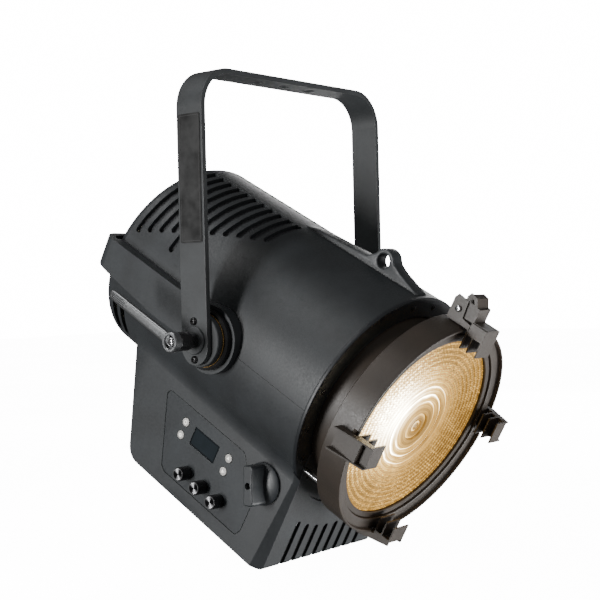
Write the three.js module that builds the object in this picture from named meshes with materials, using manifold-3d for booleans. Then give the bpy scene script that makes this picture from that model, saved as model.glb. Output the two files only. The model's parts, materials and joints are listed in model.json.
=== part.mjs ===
// A studio fresnel spotlight: a zooming lens head that tilts in a steel yoke.
// Millimetres. The row's origin is the middle hanging hole, on the top face of the yoke's bar.
// Every outline below is written in three "head" measures: x across, u forward, v up.
import * as THREE from 'three';
import { mergeVertices } from 'three/addons/utils/BufferGeometryUtils.js';
import Module from 'manifold-3d';

const wasm = await Module();
wasm.setup();

// ---------------------------------------------------------------- driving dimensions
const DEG = Math.PI / 180;
const GAP = 0.3; // air left between neighbouring pieces
const SHEET = 1.6; // folded sheet of the accessory clips
const SIDES = { drum: 36, ring: 36, disc: 16, shaft: 12 }; // facets of the round pieces

const HEAD_TILT = 29.5 * DEG; // how far the head looks down at rest

const YOKE = { width: 318, height: 295, bar: 38, thick: 6, corner: 44, tail: 27 };
const HANGING_HOLE = { radius: 6.5, pitch: 45.6 };
const ARM_SCREW_OFFSET = 20.7;
const LABEL = { low: 105, high: 244 };
const PIVOT_RADIUS = 5.8;
const ARM_INNER = YOKE.width / 2 - YOKE.thick;

const DRUM = { front: 145.7, back: -186.7, frontRadius: 129.5, backRadius: 123.5, wall: 4 };
const SEAM = -1; // height of the split between the two half shells
const FLANGE = { back: 146, front: 150.4, outer: 130, inner: 106.6, screwCircle: 119.7 };

const BASE = { front: 154.6, bottom: -207.7, wall: 3.5, flare: 0.039, corner: 20 };
const FRONT_SLOT = { pitch: 18.6, count: 8, width: 5, topRadius: 160.7 };

const VENT = { first: -30.4, pitch: 14.5, count: 11, width: 8.5, top: 81 };
const SPINE_HALF = 9;
const EYE = { u: 85, v: 141, outer: 14, hole: 8 };

const HANDLE = { outer: 136.5, boss: 38, back: -209, bar: 8, corner: 20 };

const PANEL_THICK = 1.3;
const BUTTON = { radius: 5.1, columns: [-16.6, 59.0], rows: [-121.5, -138.6] };
const DISPLAY = { back: -0.5, front: 41.5, low: -140, high: -117.7 };
const ENCODER = { radius: 8, height: 16, v: -171, places: [13.8, 42.0, 70.1] };
const ZOOM = { u: 115.5, v: -117, disc: 23.5, pinion: 9.6, grip: 27 };

const TUBE = { outer: 105.5, wall: 3, back: 100, front: 168.2 };
const RING = { outer: 129, back: 181, front: 214.4, lip: 2.7, bezelFace: 209, bezelInner: 115.5 };
const LENS_RADIUS = 110;
const ROD = { x: 92.8, v: -75.6, radius: 3 };

const CLIP = { half: 13, inner: 107.6, back: 194.5, front: 238, fins: [215.8, 225, 236.4], wayTop: 124.5 };
const LATCH_PIN = { u: 196.8, v: 144 };

// ---------------------------------------------------------------- colours
const paint = (colour, roughness, metalness) =>
  new THREE.MeshStandardMaterial({ color: colour, roughness, metalness });
const bodyPaint = () => paint(0x2c2f31, 0.6, 0.3);
const yokePaint = () => paint(0x303335, 0.55, 0.3);
const darkPaint = () => paint(0x16191b, 0.5, 0.3);
const bronzePaint = () => paint(0x3c342c, 0.5, 0.5);
const blackPlastic = () => paint(0x101112, 0.45, 0);
const brass = () => paint(0xb98a45, 0.35, 1);
const chrome = () => paint(0xc8c8c8, 0.15, 1);
const steel = () => paint(0x85888a, 0.35, 1);
const aluminium = () => paint(0x9a9c9e, 0.45, 1);

// ---------------------------------------------------------------- solids
// Six times the enclosed volume: negative when the faces look inwards.
function windingSign(points, index) {
  const corner = (k) => new THREE.Vector3().fromBufferAttribute(points, index[k]);
  let sum = 0;
  for (let k = 0; k < index.length; k += 3) {
    sum += corner(k).dot(corner(k + 1).cross(corner(k + 2)));
  }
  return Math.sign(sum);
}

// Welds a geometry into one watertight solid with its faces looking outwards.
function solid(geometry, frame) {
  if (frame) geometry.applyMatrix4(frame);
  geometry.deleteAttribute('normal');
  geometry.deleteAttribute('uv');
  const welded = mergeVertices(geometry, 1e-4);
  const points = welded.getAttribute('position');
  const index = [];
  const all = welded.index.array;
  for (let k = 0; k < all.length; k += 3) {
    const [a, b, c] = [all[k], all[k + 1], all[k + 2]];
    if (a !== b && b !== c && c !== a) index.push(a, b, c);
  }
  if (windingSign(points, index) < 0) index.reverse();
  return new wasm.Manifold(
    new wasm.Mesh({
      numProp: 3,
      vertProperties: new Float32Array(points.array),
      triVerts: new Uint32Array(index),
    }),
  );
}

const join = (...solids) => solids.reduce((whole, next) => whole.add(next));
const cut = (body, ...tools) => tools.reduce((left, tool) => left.subtract(tool), body);

// The three ways an outline is laid into the head's measures before it is extruded.
const ALONG_X = new THREE.Matrix4().set(0, 0, 1, 0, -1, 0, 0, 0, 0, 1, 0, 0, 0, 0, 0, 1);
const ALONG_U = new THREE.Matrix4().set(1, 0, 0, 0, 0, 0, -1, 0, 0, 1, 0, 0, 0, 0, 0, 1);
const ALONG_V = new THREE.Matrix4().set(1, 0, 0, 0, 0, -1, 0, 0, 0, 0, 1, 0, 0, 0, 0, 1);

function prism(outline, low, high, lay, frame) {
  const shape = new THREE.Shape(outline.map(([a, b]) => new THREE.Vector2(a, b)));
  const body = new THREE.ExtrudeGeometry(shape, { depth: high - low, bevelEnabled: false });
  body.translate(0, 0, low);
  body.applyMatrix4(lay);
  return solid(body, frame);
}

const prismX = (outline, low, high, frame) => prism(outline, low, high, ALONG_X, frame); // [u, v]
const prismU = (outline, low, high, frame) => prism(outline, low, high, ALONG_U, frame); // [x, v]
const prismV = (outline, low, high, frame) => prism(outline, low, high, ALONG_V, frame); // [x, u]

const box = (x0, x1, u0, u1, v0, v1, frame) =>
  prismV([[x0, u0], [x1, u0], [x1, u1], [x0, u1]], v0, v1, frame);

// Points of an arc, angles in degrees.
function arc(centreA, centreB, radius, from, to, steps) {
  return Array.from({ length: steps + 1 }, (_, k) => {
    const angle = (from + ((to - from) * k) / steps) * DEG;
    return [centreA + radius * Math.cos(angle), centreB + radius * Math.sin(angle)];
  });
}

const circle = (centreA, centreB, radius, sides = SIDES.shaft) =>
  arc(centreA, centreB, radius, 0, 360 - 360 / sides, sides - 1);

const rodX = (u, v, radius, low, high, sides = SIDES.shaft, frame) =>
  prismX(circle(u, v, radius, sides), low, high, frame);
const rodU = (x, v, radius, low, high, sides = SIDES.shaft, frame) =>
  prismU(circle(x, v, radius, sides), low, high, frame);

// An outline with every corner rounded off by an arc-like bend.
function rounded(outline, radius, steps = 3) {
  const points = [];
  outline.forEach((here, k) => {
    const corner = new THREE.Vector2(...here);
    const before = new THREE.Vector2(...outline.at(k - 1)).sub(corner);
    const after = new THREE.Vector2(...outline[(k + 1) % outline.length]).sub(corner);
    const half = Math.abs(before.angleTo(after)) / 2;
    const reach = Math.min(radius / Math.tan(half), before.length() / 2, after.length() / 2);
    const start = corner.clone().addScaledVector(before.normalize(), reach);
    const end = corner.clone().addScaledVector(after.normalize(), reach);
    const bend = new THREE.QuadraticBezierCurve(start, corner, end);
    bend.getPoints(steps).forEach((p) => points.push([p.x, p.y]));
  });
  return points;
}

// A body turned about the head's own axis; the profile is [radius, u] and closed.
function turned(profile, sides = SIDES.ring) {
  const points = profile.map(([r, u]) => new THREE.Vector2(r, -u));
  const onAxis = profile[0][0] === 0;
  if (!onAxis) points.push(points[0].clone());
  return solid(new THREE.LatheGeometry(points, sides));
}

// A body turned about an axis across the head, through u and v; the profile is [radius, x].
function turnedX(profile, u = 0, v = 0, sides = SIDES.disc, frame = undefined) {
  const points = profile.map(([r, x]) => new THREE.Vector2(r, x));
  if (profile[0][0] !== 0) points.push(points[0].clone());
  const body = new THREE.LatheGeometry(points, sides);
  body.rotateZ(-Math.PI / 2);
  body.translate(0, -u, v);
  return solid(body, frame);
}

const washer = (outer, bore, x0, x1, sides = SIDES.disc) =>
  turnedX([[outer, x0], [outer, x1], [bore, x1], [bore, x0]], 0, 0, sides);

const mirror = (body) => body.mirror([1, 0, 0]);

// ---------------------------------------------------------------- the part as a tree of pieces
const part = new THREE.Group();
part.name = 'fresnel_spotlight';
const stand = new THREE.Group();
stand.name = 'stand';
stand.position.z = -YOKE.height;
const head = new THREE.Group();
head.name = 'head';
head.position.z = -YOKE.height;
head.rotation.x = HEAD_TILT;
part.add(stand, head);

function piece(group, name, body, material) {
  const mesh = body.getMesh();
  const geometry = new THREE.BufferGeometry();
  geometry.setAttribute('position', new THREE.BufferAttribute(mesh.vertProperties.slice(), 3));
  geometry.setIndex(new THREE.BufferAttribute(mesh.triVerts.slice(), 1));
  const node = new THREE.Mesh(geometry, material);
  node.name = name;
  group.add(node);
}

// ---------------------------------------------------------------- yoke and pivots
function yoke() {
  const { width, height, bar, thick, corner, tail } = YOKE;
  const half = width / 2;
  const bend = (radius, side) =>
    side < 0
      ? arc(-half + corner, height - corner, radius, 180, 90, 8)
      : arc(half - corner, height - corner, radius, 90, 0, 8);
  const strip = [
    [-half, -tail],
    ...bend(corner, -1),
    ...bend(corner, 1),
    [half, -tail],
    [half - thick, -tail],
    ...bend(corner - thick, 1).reverse(),
    ...bend(corner - thick, -1).reverse(),
    [-half + thick, -tail],
  ];
  const endRadius = bar / 2;
  const armSide = [
    ...arc(0, endRadius - tail, endRadius, 180, 360, 12),
    [endRadius, height + 1],
    [-endRadius, height + 1],
  ];
  const body = prismU(strip, -endRadius, endRadius).intersect(prismX(armSide, -half - 1, half + 1));
  const hangingHoles = [-1, 0, 1].map((k) =>
    prismV(circle(k * HANGING_HOLE.pitch, 0, HANGING_HOLE.radius, 16), height - 20, height + 5),
  );
  const pivotHole = rodX(0, 0, PIVOT_RADIUS + 0.4, -half - 5, half + 5, 16);
  const screwHoles = [-1, 1].map((k) => rodX(0, k * ARM_SCREW_OFFSET, 2.3, -half - 5, half + 5, 10));
  return cut(body, ...hangingHoles, pivotHole, ...screwHoles);
}

// Rating label on the outside of the left arm.
function ratingLabel() {
  const face = -YOKE.width / 2 - GAP;
  const outline = rounded([[-16, LABEL.low], [16, LABEL.low], [16, LABEL.high], [-16, LABEL.high]], 2, 1);
  return prismX(outline, face - 0.5, face);
}

const frictionPlate = () =>
  cut(
    washer(28.8, PIVOT_RADIUS + 0.4, -ARM_INNER + GAP, -145.8),
    ...[-1, 1].map((k) => rodX(0, k * ARM_SCREW_OFFSET, 2.3, -ARM_INNER - 1, -140, 10)),
  );
const brassWasher = () => washer(29.4, PIVOT_RADIUS + 0.4, -145.5, -144.5);
const pivotDisc = () => washer(32.8, PIVOT_RADIUS + 0.4, -144.2, -HANDLE.outer - GAP);
const armWasher = () => washer(15, PIVOT_RADIUS + 0.4, -161.5, -159.3);
const pivotStud = () => turnedX([[0, -188], [PIVOT_RADIUS, -188], [PIVOT_RADIUS, -118], [0, -118]]);
const pivotBolt = () =>
  turnedX([
    [0, -171],
    [8, -171],
    [11, -169],
    [11, -161.8],
    [PIVOT_RADIUS, -161.8],
    [PIVOT_RADIUS, -118],
    [0, -118],
  ]);

function armScrew(side, place) {
  const face = YOKE.width / 2 + GAP;
  const shank = [[0, 148.5], [1.9, 148.5], [1.9, face], [4.2, face], [4.2, face + 1.6], [2.6, face + 2.8]];
  const profile = [...shank, [0, face + 2.8]].map(([r, x]) => [r, side * x]);
  return turnedX(profile, 0, place * ARM_SCREW_OFFSET, 12);
}

// Clamping lever: black hub, silver eye and arm, chrome screw in the eye's recess.
const LEVER = { eyeIn: -187, eyeOut: -196.9, length: 108, root: 6.3, tip: 5.2 };
const leverFrame = new THREE.Matrix4().makeRotationX(HEAD_TILT);

const leverHub = () =>
  turnedX([
    [PIVOT_RADIUS + 0.4, -161.8],
    [8, -161.8],
    [8, -168],
    [10.2, -171],
    [10.2, LEVER.eyeIn + GAP],
    [PIVOT_RADIUS + 0.4, LEVER.eyeIn + GAP],
  ]);

function lockLever() {
  const { eyeIn, eyeOut, length, root, tip } = LEVER;
  const eye = turnedX([[0, eyeOut + 5], [7.4, eyeOut + 5], [7.4, eyeOut], [10.8, eyeOut], [10.8, eyeIn - 1.3], [0, eyeIn - 1.3]]);
  const arm = prismX(
    [[-7, root], [-length + 6, tip], [-length, tip - 2.5], [-length, 2.5 - tip], [-length + 6, -tip], [-7, -root]],
    eyeOut + 2,
    eyeIn - 1.3,
  );
  return join(eye, arm).transform(leverFrame.elements);
}

const leverScrew = () =>
  turnedX([[0, LEVER.eyeOut + 0.6], [3.4, LEVER.eyeOut + 0.6], [5.6, LEVER.eyeOut + 2.4], [5.6, LEVER.eyeOut + 4.7], [0, LEVER.eyeOut + 4.7]], 0, 0, 16);

piece(stand, 'yoke', yoke(), yokePaint());
piece(stand, 'rating_label', ratingLabel(), paint(0x0c0c0c, 0.4, 0));
piece(stand, 'friction_plate_left', frictionPlate(), darkPaint());
piece(stand, 'friction_plate_right', mirror(frictionPlate()), darkPaint());
piece(stand, 'arm_washer_left', armWasher(), darkPaint());
piece(stand, 'arm_washer_right', mirror(armWasher()), darkPaint());
piece(stand, 'arm_screw_left_upper', armScrew(-1, 1), darkPaint());
piece(stand, 'arm_screw_left_lower', armScrew(-1, -1), darkPaint());
piece(stand, 'arm_screw_right_upper', armScrew(1, 1), darkPaint());
piece(stand, 'arm_screw_right_lower', armScrew(1, -1), darkPaint());
piece(stand, 'lever_hub', leverHub(), blackPlastic());
piece(stand, 'lock_lever', lockLever(), steel());
piece(stand, 'lever_screw', leverScrew(), chrome());
piece(head, 'brass_washer_left', brassWasher(), brass());
piece(head, 'brass_washer_right', mirror(brassWasher()), brass());
piece(head, 'pivot_disc_left', pivotDisc(), blackPlastic());
piece(head, 'pivot_disc_right', mirror(pivotDisc()), blackPlastic());
piece(head, 'pivot_stud_left', pivotStud(), steel());
piece(head, 'pivot_bolt_right', mirror(pivotBolt()), steel());

// ---------------------------------------------------------------- head shells
const drumRadius = (u) =>
  DRUM.backRadius +
  ((DRUM.frontRadius - DRUM.backRadius) * (u - DRUM.back)) / (DRUM.front - DRUM.back);

// The drum's cone as a full solid, grown by `grow` and running from `back` to `front`.
const drumCone = (grow, back, front) =>
  turned([[0, back], [drumRadius(back) + grow, back], [drumRadius(front) + grow, front], [0, front]], SIDES.drum);

const above = (v) => box(-200, 200, -300, 300, v, 300);
const below = (v) => box(-200, 200, -300, 300, -300, v);

const baseHalfWidth = (v) => 100.4 - BASE.flare * (v + 100);
const baseBackEdge = (v) => -130.4 + 0.433 * (-84.8 - v);

// The base box with every wall moved in by `inset`, closed or open below at `bottom`.
function baseBlock(inset, bottom) {
  const top = -20;
  const wide = (v) => baseHalfWidth(v) - inset;
  const across = [[-wide(top), top], [wide(top), top], [wide(bottom), bottom], [-wide(bottom), bottom]];
  const heel = Math.max(bottom, BASE.bottom);
  const backAt = (v) => baseBackEdge(v) + inset * 1.09;
  const side = [
    [backAt(top), top],
    [backAt(heel + BASE.corner), heel + BASE.corner],
    [backAt(heel) + 3, heel + BASE.corner * 0.4],
    [backAt(heel) + BASE.corner * 0.75, heel],
    [backAt(heel) + BASE.corner * 0.75, bottom],
    [BASE.front - inset, bottom],
    [BASE.front - inset, top],
  ];
  const chamferAt = 96 - inset * 0.8;
  const plan = [
    [-110, -170],
    [110, -170],
    [110, BASE.front - inset - 1.47 * (110 - chamferAt)],
    [chamferAt, BASE.front - inset],
    [-chamferAt, BASE.front - inset],
    [-110, BASE.front - inset - 1.47 * (110 - chamferAt)],
  ];
  return prismU(across, -170, 170)
    .intersect(prismX(side, -120, 120))
    .intersect(prismV(plan, -240, 0));
}

// One vent: a sector of the drum's wall between two angles up from the left-hand side.
function ventCut(u, from, to, mirrored) {
  const side = mirrored ? 1 : -1;
  const place = ([a, b]) => [side * a, b];
  const outline = [...arc(0, 0, 145, from, to, 3), ...arc(0, 0, 106, to, from, 3)].map(place);
  return prismU(outline, u - VENT.width / 2, u + VENT.width / 2);
}

const ventPlace = (k) => VENT.first - VENT.pitch * k;
const LONG_VENT = 6; // this one reaches further down the side than its neighbours
const ventFoot = (k) => (k === LONG_VENT ? 22 : 54 + 0.25 * (ventPlace(k) + 40));
const pivotHoles = () => rodX(0, 0, PIVOT_RADIUS + 0.4, -150, 150, 16);

function safetySpine() {
  const ridge = [
    [-32, 118],
    [-32, 127],
    [-10, 131],
    [40, 134.5],
    [66, 136.5],
    [EYE.u - 12, EYE.v + 7.2],
    ...arc(EYE.u, EYE.v, EYE.outer, 130, 40, 5),
    [112, 139.5],
    [143, 130],
    [143, 118],
  ];
  return cut(
    prismX(ridge, -SPINE_HALF, SPINE_HALF),
    rodX(EYE.u, EYE.v, EYE.hole, -SPINE_HALF - 5, SPINE_HALF + 5, 16),
  );
}

function upperShell() {
  const whole = drumCone(0, DRUM.back, DRUM.front).add(safetySpine());
  const hollow = drumCone(-DRUM.wall, DRUM.back - 5, DRUM.front + 5);
  const vents = [];
  for (let k = 0; k < VENT.count; k += 1) {
    vents.push(ventCut(ventPlace(k), ventFoot(k), VENT.top, false));
    vents.push(ventCut(ventPlace(k), ventFoot(k), VENT.top, true));
  }
  return cut(whole, hollow, ...vents, pivotHoles()).intersect(above(SEAM + GAP / 2));
}

function frontSlots() {
  const slots = [];
  for (let k = 0; k < FRONT_SLOT.count; k += 1) {
    const x = (k - (FRONT_SLOT.count - 1) / 2) * FRONT_SLOT.pitch;
    const top = -Math.sqrt(FRONT_SLOT.topRadius ** 2 - x ** 2);
    const half = FRONT_SLOT.width / 2;
    slots.push(box(x - half, x + half, BASE.front - 12, BASE.front + 5, BASE.bottom - 5, top));
  }
  return slots;
}

// The control face leans out by the base's flare; its own frame has x inwards, origin at v -150.
const PANEL_V = -150;
const panelLean = Math.atan(BASE.flare);
const panelFrame = new THREE.Matrix4()
  .makeTranslation(-baseHalfWidth(PANEL_V), 0, PANEL_V)
  .multiply(new THREE.Matrix4().makeRotationY(panelLean));
const onPanel = (v) => v - PANEL_V;
const PANEL_OUTLINE = [
  [-55, onPanel(-101)],
  [-59, onPanel(-107)],
  [-26, onPanel(-186)],
  [-19, onPanel(-190.5)],
  [108, onPanel(-190.5)],
  [112.5, onPanel(-182)],
  [112.5, onPanel(-152)],
  [83, onPanel(-109)],
  [75, onPanel(-102)],
];

const insetPanel = (by) => {
  const centre = [40, onPanel(-147)];
  const scaleU = 1 - by / 80;
  const scaleV = 1 - by / 44;
  return PANEL_OUTLINE.map(([u, v]) => [
    centre[0] + (u - centre[0]) * scaleU,
    centre[1] + (v - centre[1]) * scaleV,
  ]);
};

function lowerShell() {
  const outside = drumCone(0, DRUM.back, DRUM.front).add(baseBlock(0, BASE.bottom));
  const inside = drumCone(-DRUM.wall, DRUM.back - 5, DRUM.front + 5).add(baseBlock(BASE.wall, BASE.bottom - 10));
  const flangeSeat = rodU(0, 0, FLANGE.outer + 0.6, DRUM.front, BASE.front + 5, SIDES.drum);
  const panelPocket = prismX(PANEL_OUTLINE, -5, PANEL_THICK + GAP, panelFrame);
  const panelWindow = prismX(insetPanel(8), -5, 10, panelFrame);
  const shaftHole = rodX(ZOOM.u, onPanel(ZOOM.v), 4.4, -5, 10, 12, panelFrame);
  const lowVents = [9, 10].flatMap((k) => [
    ventCut(ventPlace(k), -46, -24, false),
    ventCut(ventPlace(k), -46, -24, true),
  ]);
  return cut(outside, inside, flangeSeat, panelPocket, panelWindow, shaftHole, pivotHoles(), ...lowVents, ...frontSlots())
    .intersect(below(SEAM - GAP / 2));
}

const basePlate = () =>
  baseBlock(BASE.wall + GAP, BASE.bottom + 0.2).intersect(box(-120, 120, -200, 200, BASE.bottom, BASE.bottom + 2.7));

function rearCap() {
  const bowl = turned(
    [
      [0, -166], [96, -166], [97, -196], [100, -198.5], [109, -198.5], [117.5, -196], [122, -191.5],
      [123.3, -187], [118.9, -187], [118.9, -180], [116.5, -180], [116.5, -189], [104, -193],
      [100.5, -190], [99.5, -162], [0, -162],
    ],
    SIDES.drum,
  );
  const grille = [-24, -12, 0, 12, 24].map((v) => box(-46, 46, -170, -158, v + 6, v + 12));
  const { left, right } = SOCKET_WINDOW;
  const window = box(left, right, -172, -155, SOCKET_V - SOCKET_RADIUS - 0.8, SOCKET_V + SOCKET_RADIUS + 0.8);
  return cut(bowl, ...grille, window);
}

// Three connectors side by side behind one window of the rear cap.
const SOCKET_RADIUS = 11;
const SOCKET_V = -52;
const SOCKET_WINDOW = { left: -62, right: 62 };
const SOCKETS = [
  { name: 'power_inlet', x: -42, left: -66, right: -18 },
  { name: 'signal_in', x: 6, left: -18 + GAP, right: 25 },
  { name: 'signal_out', x: 44, left: 25 + GAP, right: 66 },
];
function socket({ x, left, right }) {
  const [low, high] = [SOCKET_V - 15, SOCKET_V + 15];
  const plate = prismU([[left, low], [right, low], [right, high], [left, high]], -168.3, -166.3);
  const body = join(rodU(x, SOCKET_V, SOCKET_RADIUS, -168.3, -148), plate);
  return cut(body, rodU(x, SOCKET_V, SOCKET_RADIUS - 3, -172, -158));
}

// Angles of the flange screws, up from the left-hand side.
const FLANGE_SCREWS = [80.8, 99.2, 11, -11, -31, -48, 169, 191, 211, 228, 260, 280];

function frontFlange() {
  const { back, front, outer, inner, screwCircle } = FLANGE;
  const ring = turned([[inner, back], [outer, back], [outer, front - 1], [outer - 1, front], [inner, front]], SIDES.drum);
  const heads = FLANGE_SCREWS.map((angle) =>
    rodU(-screwCircle * Math.cos(angle * DEG), screwCircle * Math.sin(angle * DEG), 3, front - 1, front + 1, 6),
  );
  const rodHoles = [-1, 1].map((side) => rodU(side * ROD.x, ROD.v, ROD.radius + 0.4, back - 2, front + 3));
  return cut(join(ring, ...heads), ...rodHoles);
}

// Carrying handle: a deep band that hugs the drum and crosses behind it.
function handle() {
  const { outer, boss, back, bar, corner } = HANDLE;
  const round = (side, from, to) => arc(side * (outer - corner), back + corner, corner, from, to, 4);
  const plan = [
    [-outer, 60],
    ...round(-1, 180, 270),
    ...round(1, 270, 360),
    [outer, 60],
    [100, 60],
    [100, -186],
    [outer - 9, -190],
    [outer - corner, back + bar],
    [corner - outer, back + bar],
    [9 - outer, -190],
    [-100, -186],
    [-100, 60],
  ];
  const band = [
    [0, boss - 1],
    [-24, 34],
    [-75, 26.5],
    [-195, 26],
    [back - 1, 24],
    [back - 1, -9],
    [-180, -13],
    [-92, -20],
    [-50, -18.5],
    [-24, -26],
    [0, 1 - boss],
  ];
  const side = join(prismX(band, -150, 150), rodX(0, 0, boss, -150, 150, 24));
  const body = prismV(plan, -60, 60).intersect(side);
  return cut(body, drumCone(0.35, DRUM.back - 9, DRUM.front), pivotHoles());
}

// Perforated sheet seen through the vents.
function ventScreen() {
  const [back, front] = [DRUM.back + 8, VENT.first + 8];
  const sheet = (offset) => [drumRadius(back) - offset, drumRadius(front) - offset];
  const [outerBack, outerFront] = sheet(DRUM.wall + 0.5);
  const ring = turned([[outerBack, back], [outerFront, front], [outerFront - 0.9, front], [outerBack - 0.9, back]], SIDES.drum);
  return ring.intersect(above(34));
}

piece(head, 'upper_shell', upperShell(), bodyPaint());
piece(head, 'lower_shell', lowerShell(), bodyPaint());
piece(head, 'base_plate', basePlate(), darkPaint());
piece(head, 'rear_cap', rearCap(), bodyPaint());
SOCKETS.forEach((place) => piece(head, place.name, socket(place), blackPlastic()));
piece(head, 'front_flange', frontFlange(), darkPaint());
piece(head, 'handle', handle(), bodyPaint());
piece(head, 'vent_screen', ventScreen(), darkPaint());

// ---------------------------------------------------------------- control face
function controlPanel() {
  const { back, front, low, high } = DISPLAY;
  const plate = prismX(insetPanel(0.4), 0, PANEL_THICK, panelFrame);
  const window = prismX([[back, onPanel(low)], [front, onPanel(low)], [front, onPanel(high)], [back, onPanel(high)]], -3, 5, panelFrame);
  const buttonHoles = BUTTON.columns.flatMap((u) =>
    BUTTON.rows.map((v) => rodX(u, onPanel(v), BUTTON.radius + GAP, -3, 5, SIDES.shaft, panelFrame)),
  );
  const shaftHoles = ENCODER.places.map((u) => rodX(u, onPanel(ENCODER.v), 3.4, -3, 5, 12, panelFrame));
  return cut(plate, window, ...buttonHoles, ...shaftHoles);
}

function displayWindow() {
  const { back, front, low, high } = DISPLAY;
  const outline = [[back + GAP, onPanel(low) + GAP], [front - GAP, onPanel(low) + GAP], [front - GAP, onPanel(high) - GAP], [back + GAP, onPanel(high) - GAP]];
  return prismX(outline, 0.6, 2.2, panelFrame);
}

const button = (u, v) => rodX(u, onPanel(v), BUTTON.radius, -0.7, 2.6, SIDES.shaft, panelFrame);

const encoder = (u) =>
  turnedX(
    [[0, -ENCODER.height], [7.2, -ENCODER.height], [ENCODER.radius, 0.8 - ENCODER.height], [ENCODER.radius, -0.5], [3, -0.5], [3, 9], [0, 9]],
    u,
    onPanel(ENCODER.v),
    SIDES.shaft,
    panelFrame,
  );

function zoomKnob() {
  const { u, disc, grip } = ZOOM;
  const v = onPanel(ZOOM.v);
  const dome = turnedX([[0, -7], [disc - 6, -6.5], [disc - 1.5, -3.5], [disc, -2.5], [disc, -0.5], [0, -0.5]], u, v, SIDES.disc, panelFrame);
  const gripFrame = panelFrame
    .clone()
    .multiply(new THREE.Matrix4().makeTranslation(0, -u, v))
    .multiply(new THREE.Matrix4().makeRotationX(-HEAD_TILT));
  const bar = prismX(rounded([[-7, -22], [7, -22], [7, 22], [-7, 22]], 4, 3), -grip, -4, gripFrame);
  const recess = rodX(u, v, 4, -grip - 2, -grip + 7, 12, panelFrame);
  const bore = rodX(u, v, 4.3, -17, 2, 12, panelFrame);
  return cut(join(dome, bar), recess, bore);
}

const zoomShaft = () =>
  turnedX([[0, -16], [4, -16], [4, 12], [ZOOM.pinion, 12], [ZOOM.pinion, 22], [0, 22]], ZOOM.u, onPanel(ZOOM.v), SIDES.disc, panelFrame);

const controlBoard = () => box(12.4, 14, -30, 95, -38, 38, panelFrame);

piece(head, 'control_panel', controlPanel(), paint(0x2a2d30, 0.5, 0));
piece(head, 'display_window', displayWindow(), paint(0x12181c, 0.15, 0));
['back', 'front'].forEach((column, a) =>
  ['upper', 'lower'].forEach((row, b) =>
    piece(head, `button_${column}_${row}`, button(BUTTON.columns[a], BUTTON.rows[b]), paint(0xd8d8d4, 0.4, 0)),
  ),
);
ENCODER.places.forEach((u, k) => piece(head, `encoder_knob_${k + 1}`, encoder(u), blackPlastic()));
piece(head, 'zoom_knob', zoomKnob(), blackPlastic());
piece(head, 'zoom_shaft', zoomShaft(), steel());
piece(head, 'control_board', controlBoard(), paint(0x1f4a2c, 0.6, 0));

// ---------------------------------------------------------------- lens carriage
const lensTube = () => {
  const { outer, wall, back, front } = TUBE;
  return turned([[outer, back], [outer, front], [outer - wall, front], [outer - wall, back]]);
};

function lensRing() {
  const { outer, back, front, lip, bezelFace, bezelInner } = RING;
  const body = turned(
    [
      [TUBE.outer + 0.7, 168.5],
      [outer, back],
      [outer, front],
      [outer - lip, front],
      [outer - lip, bezelFace],
      [bezelInner, bezelFace],
      [bezelInner, bezelFace - 2.6],
      [outer - 3.2, bezelFace - 2.6],
      [outer - 3.2, back + 1.8],
      [TUBE.outer + 0.7, 171.8],
    ],
    SIDES.ring,
  );
  const notch = (angle) =>
    box(-17.5, 17.5, bezelFace - 1.2, front + 3, bezelInner + 3, outer + 5, new THREE.Matrix4().makeRotationY(angle * DEG));
  return cut(body, ...[0, 90, 180, 270].map(notch));
}

const lensRetainer = () =>
  turned([[110.4, 202], [115.2, 202], [115.2, 206], [108.5, 206], [108.5, 204.3], [110.4, 204.3]], 32);

// Stepped lens: a shallow central dome and concentric risers, flat at the back.
function fresnelLens() {
  const steps = 4;
  const profile = [[0, 202.4]];
  for (let k = 1; k <= steps; k += 1) {
    const rim = 30 + ((LENS_RADIUS - 30) * (k - 1)) / steps;
    profile.push([rim, 199.2], [rim, 202.2]);
  }
  profile.push([LENS_RADIUS, 200], [LENS_RADIUS, 196.5], [0, 196.5]);
  return turned(profile, 32);
}

const guideRod = (side) => rodU(side * ROD.x, ROD.v, ROD.radius, 40, 173.7);

function zoomRack() {
  const [x0, x1] = [-90, -82];
  const rack = box(x0, x1, 82, 133.5, -107.4, -101.5);
  const bracket = prismU([[x0, -101.8], [x1, -101.8], [-60, -84], [-70, -76]], 104, 110);
  return cut(join(rack, bracket), rodU(0, 0, TUBE.outer + 0.6, 90, 120, SIDES.ring));
}

// Accessory clip: two cheeks, three cross fins and the roofs over the two slots.
// The cheeks stop short of the lens beside each slot, so a round frame can pass through.
// Built standing on top of the ring, then swung round the lens axis.
const cheek = (outline, x) => prismX(outline, x, x + SHEET);
const bothCheeks = (outline) => join(cheek(outline, -CLIP.half), cheek(outline, CLIP.half - SHEET));
const fin = (k, from, to) => box(-CLIP.half, CLIP.half, CLIP.fins[k], CLIP.fins[k] + SHEET, from, to);

// The way through both cheeks between two neighbouring fins, open up to `top`.
const slotWay = (k, top) =>
  box(-CLIP.half - 1, CLIP.half + 1, CLIP.fins[k] + SHEET, CLIP.fins[k + 1], CLIP.inner - 1, top);

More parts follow.
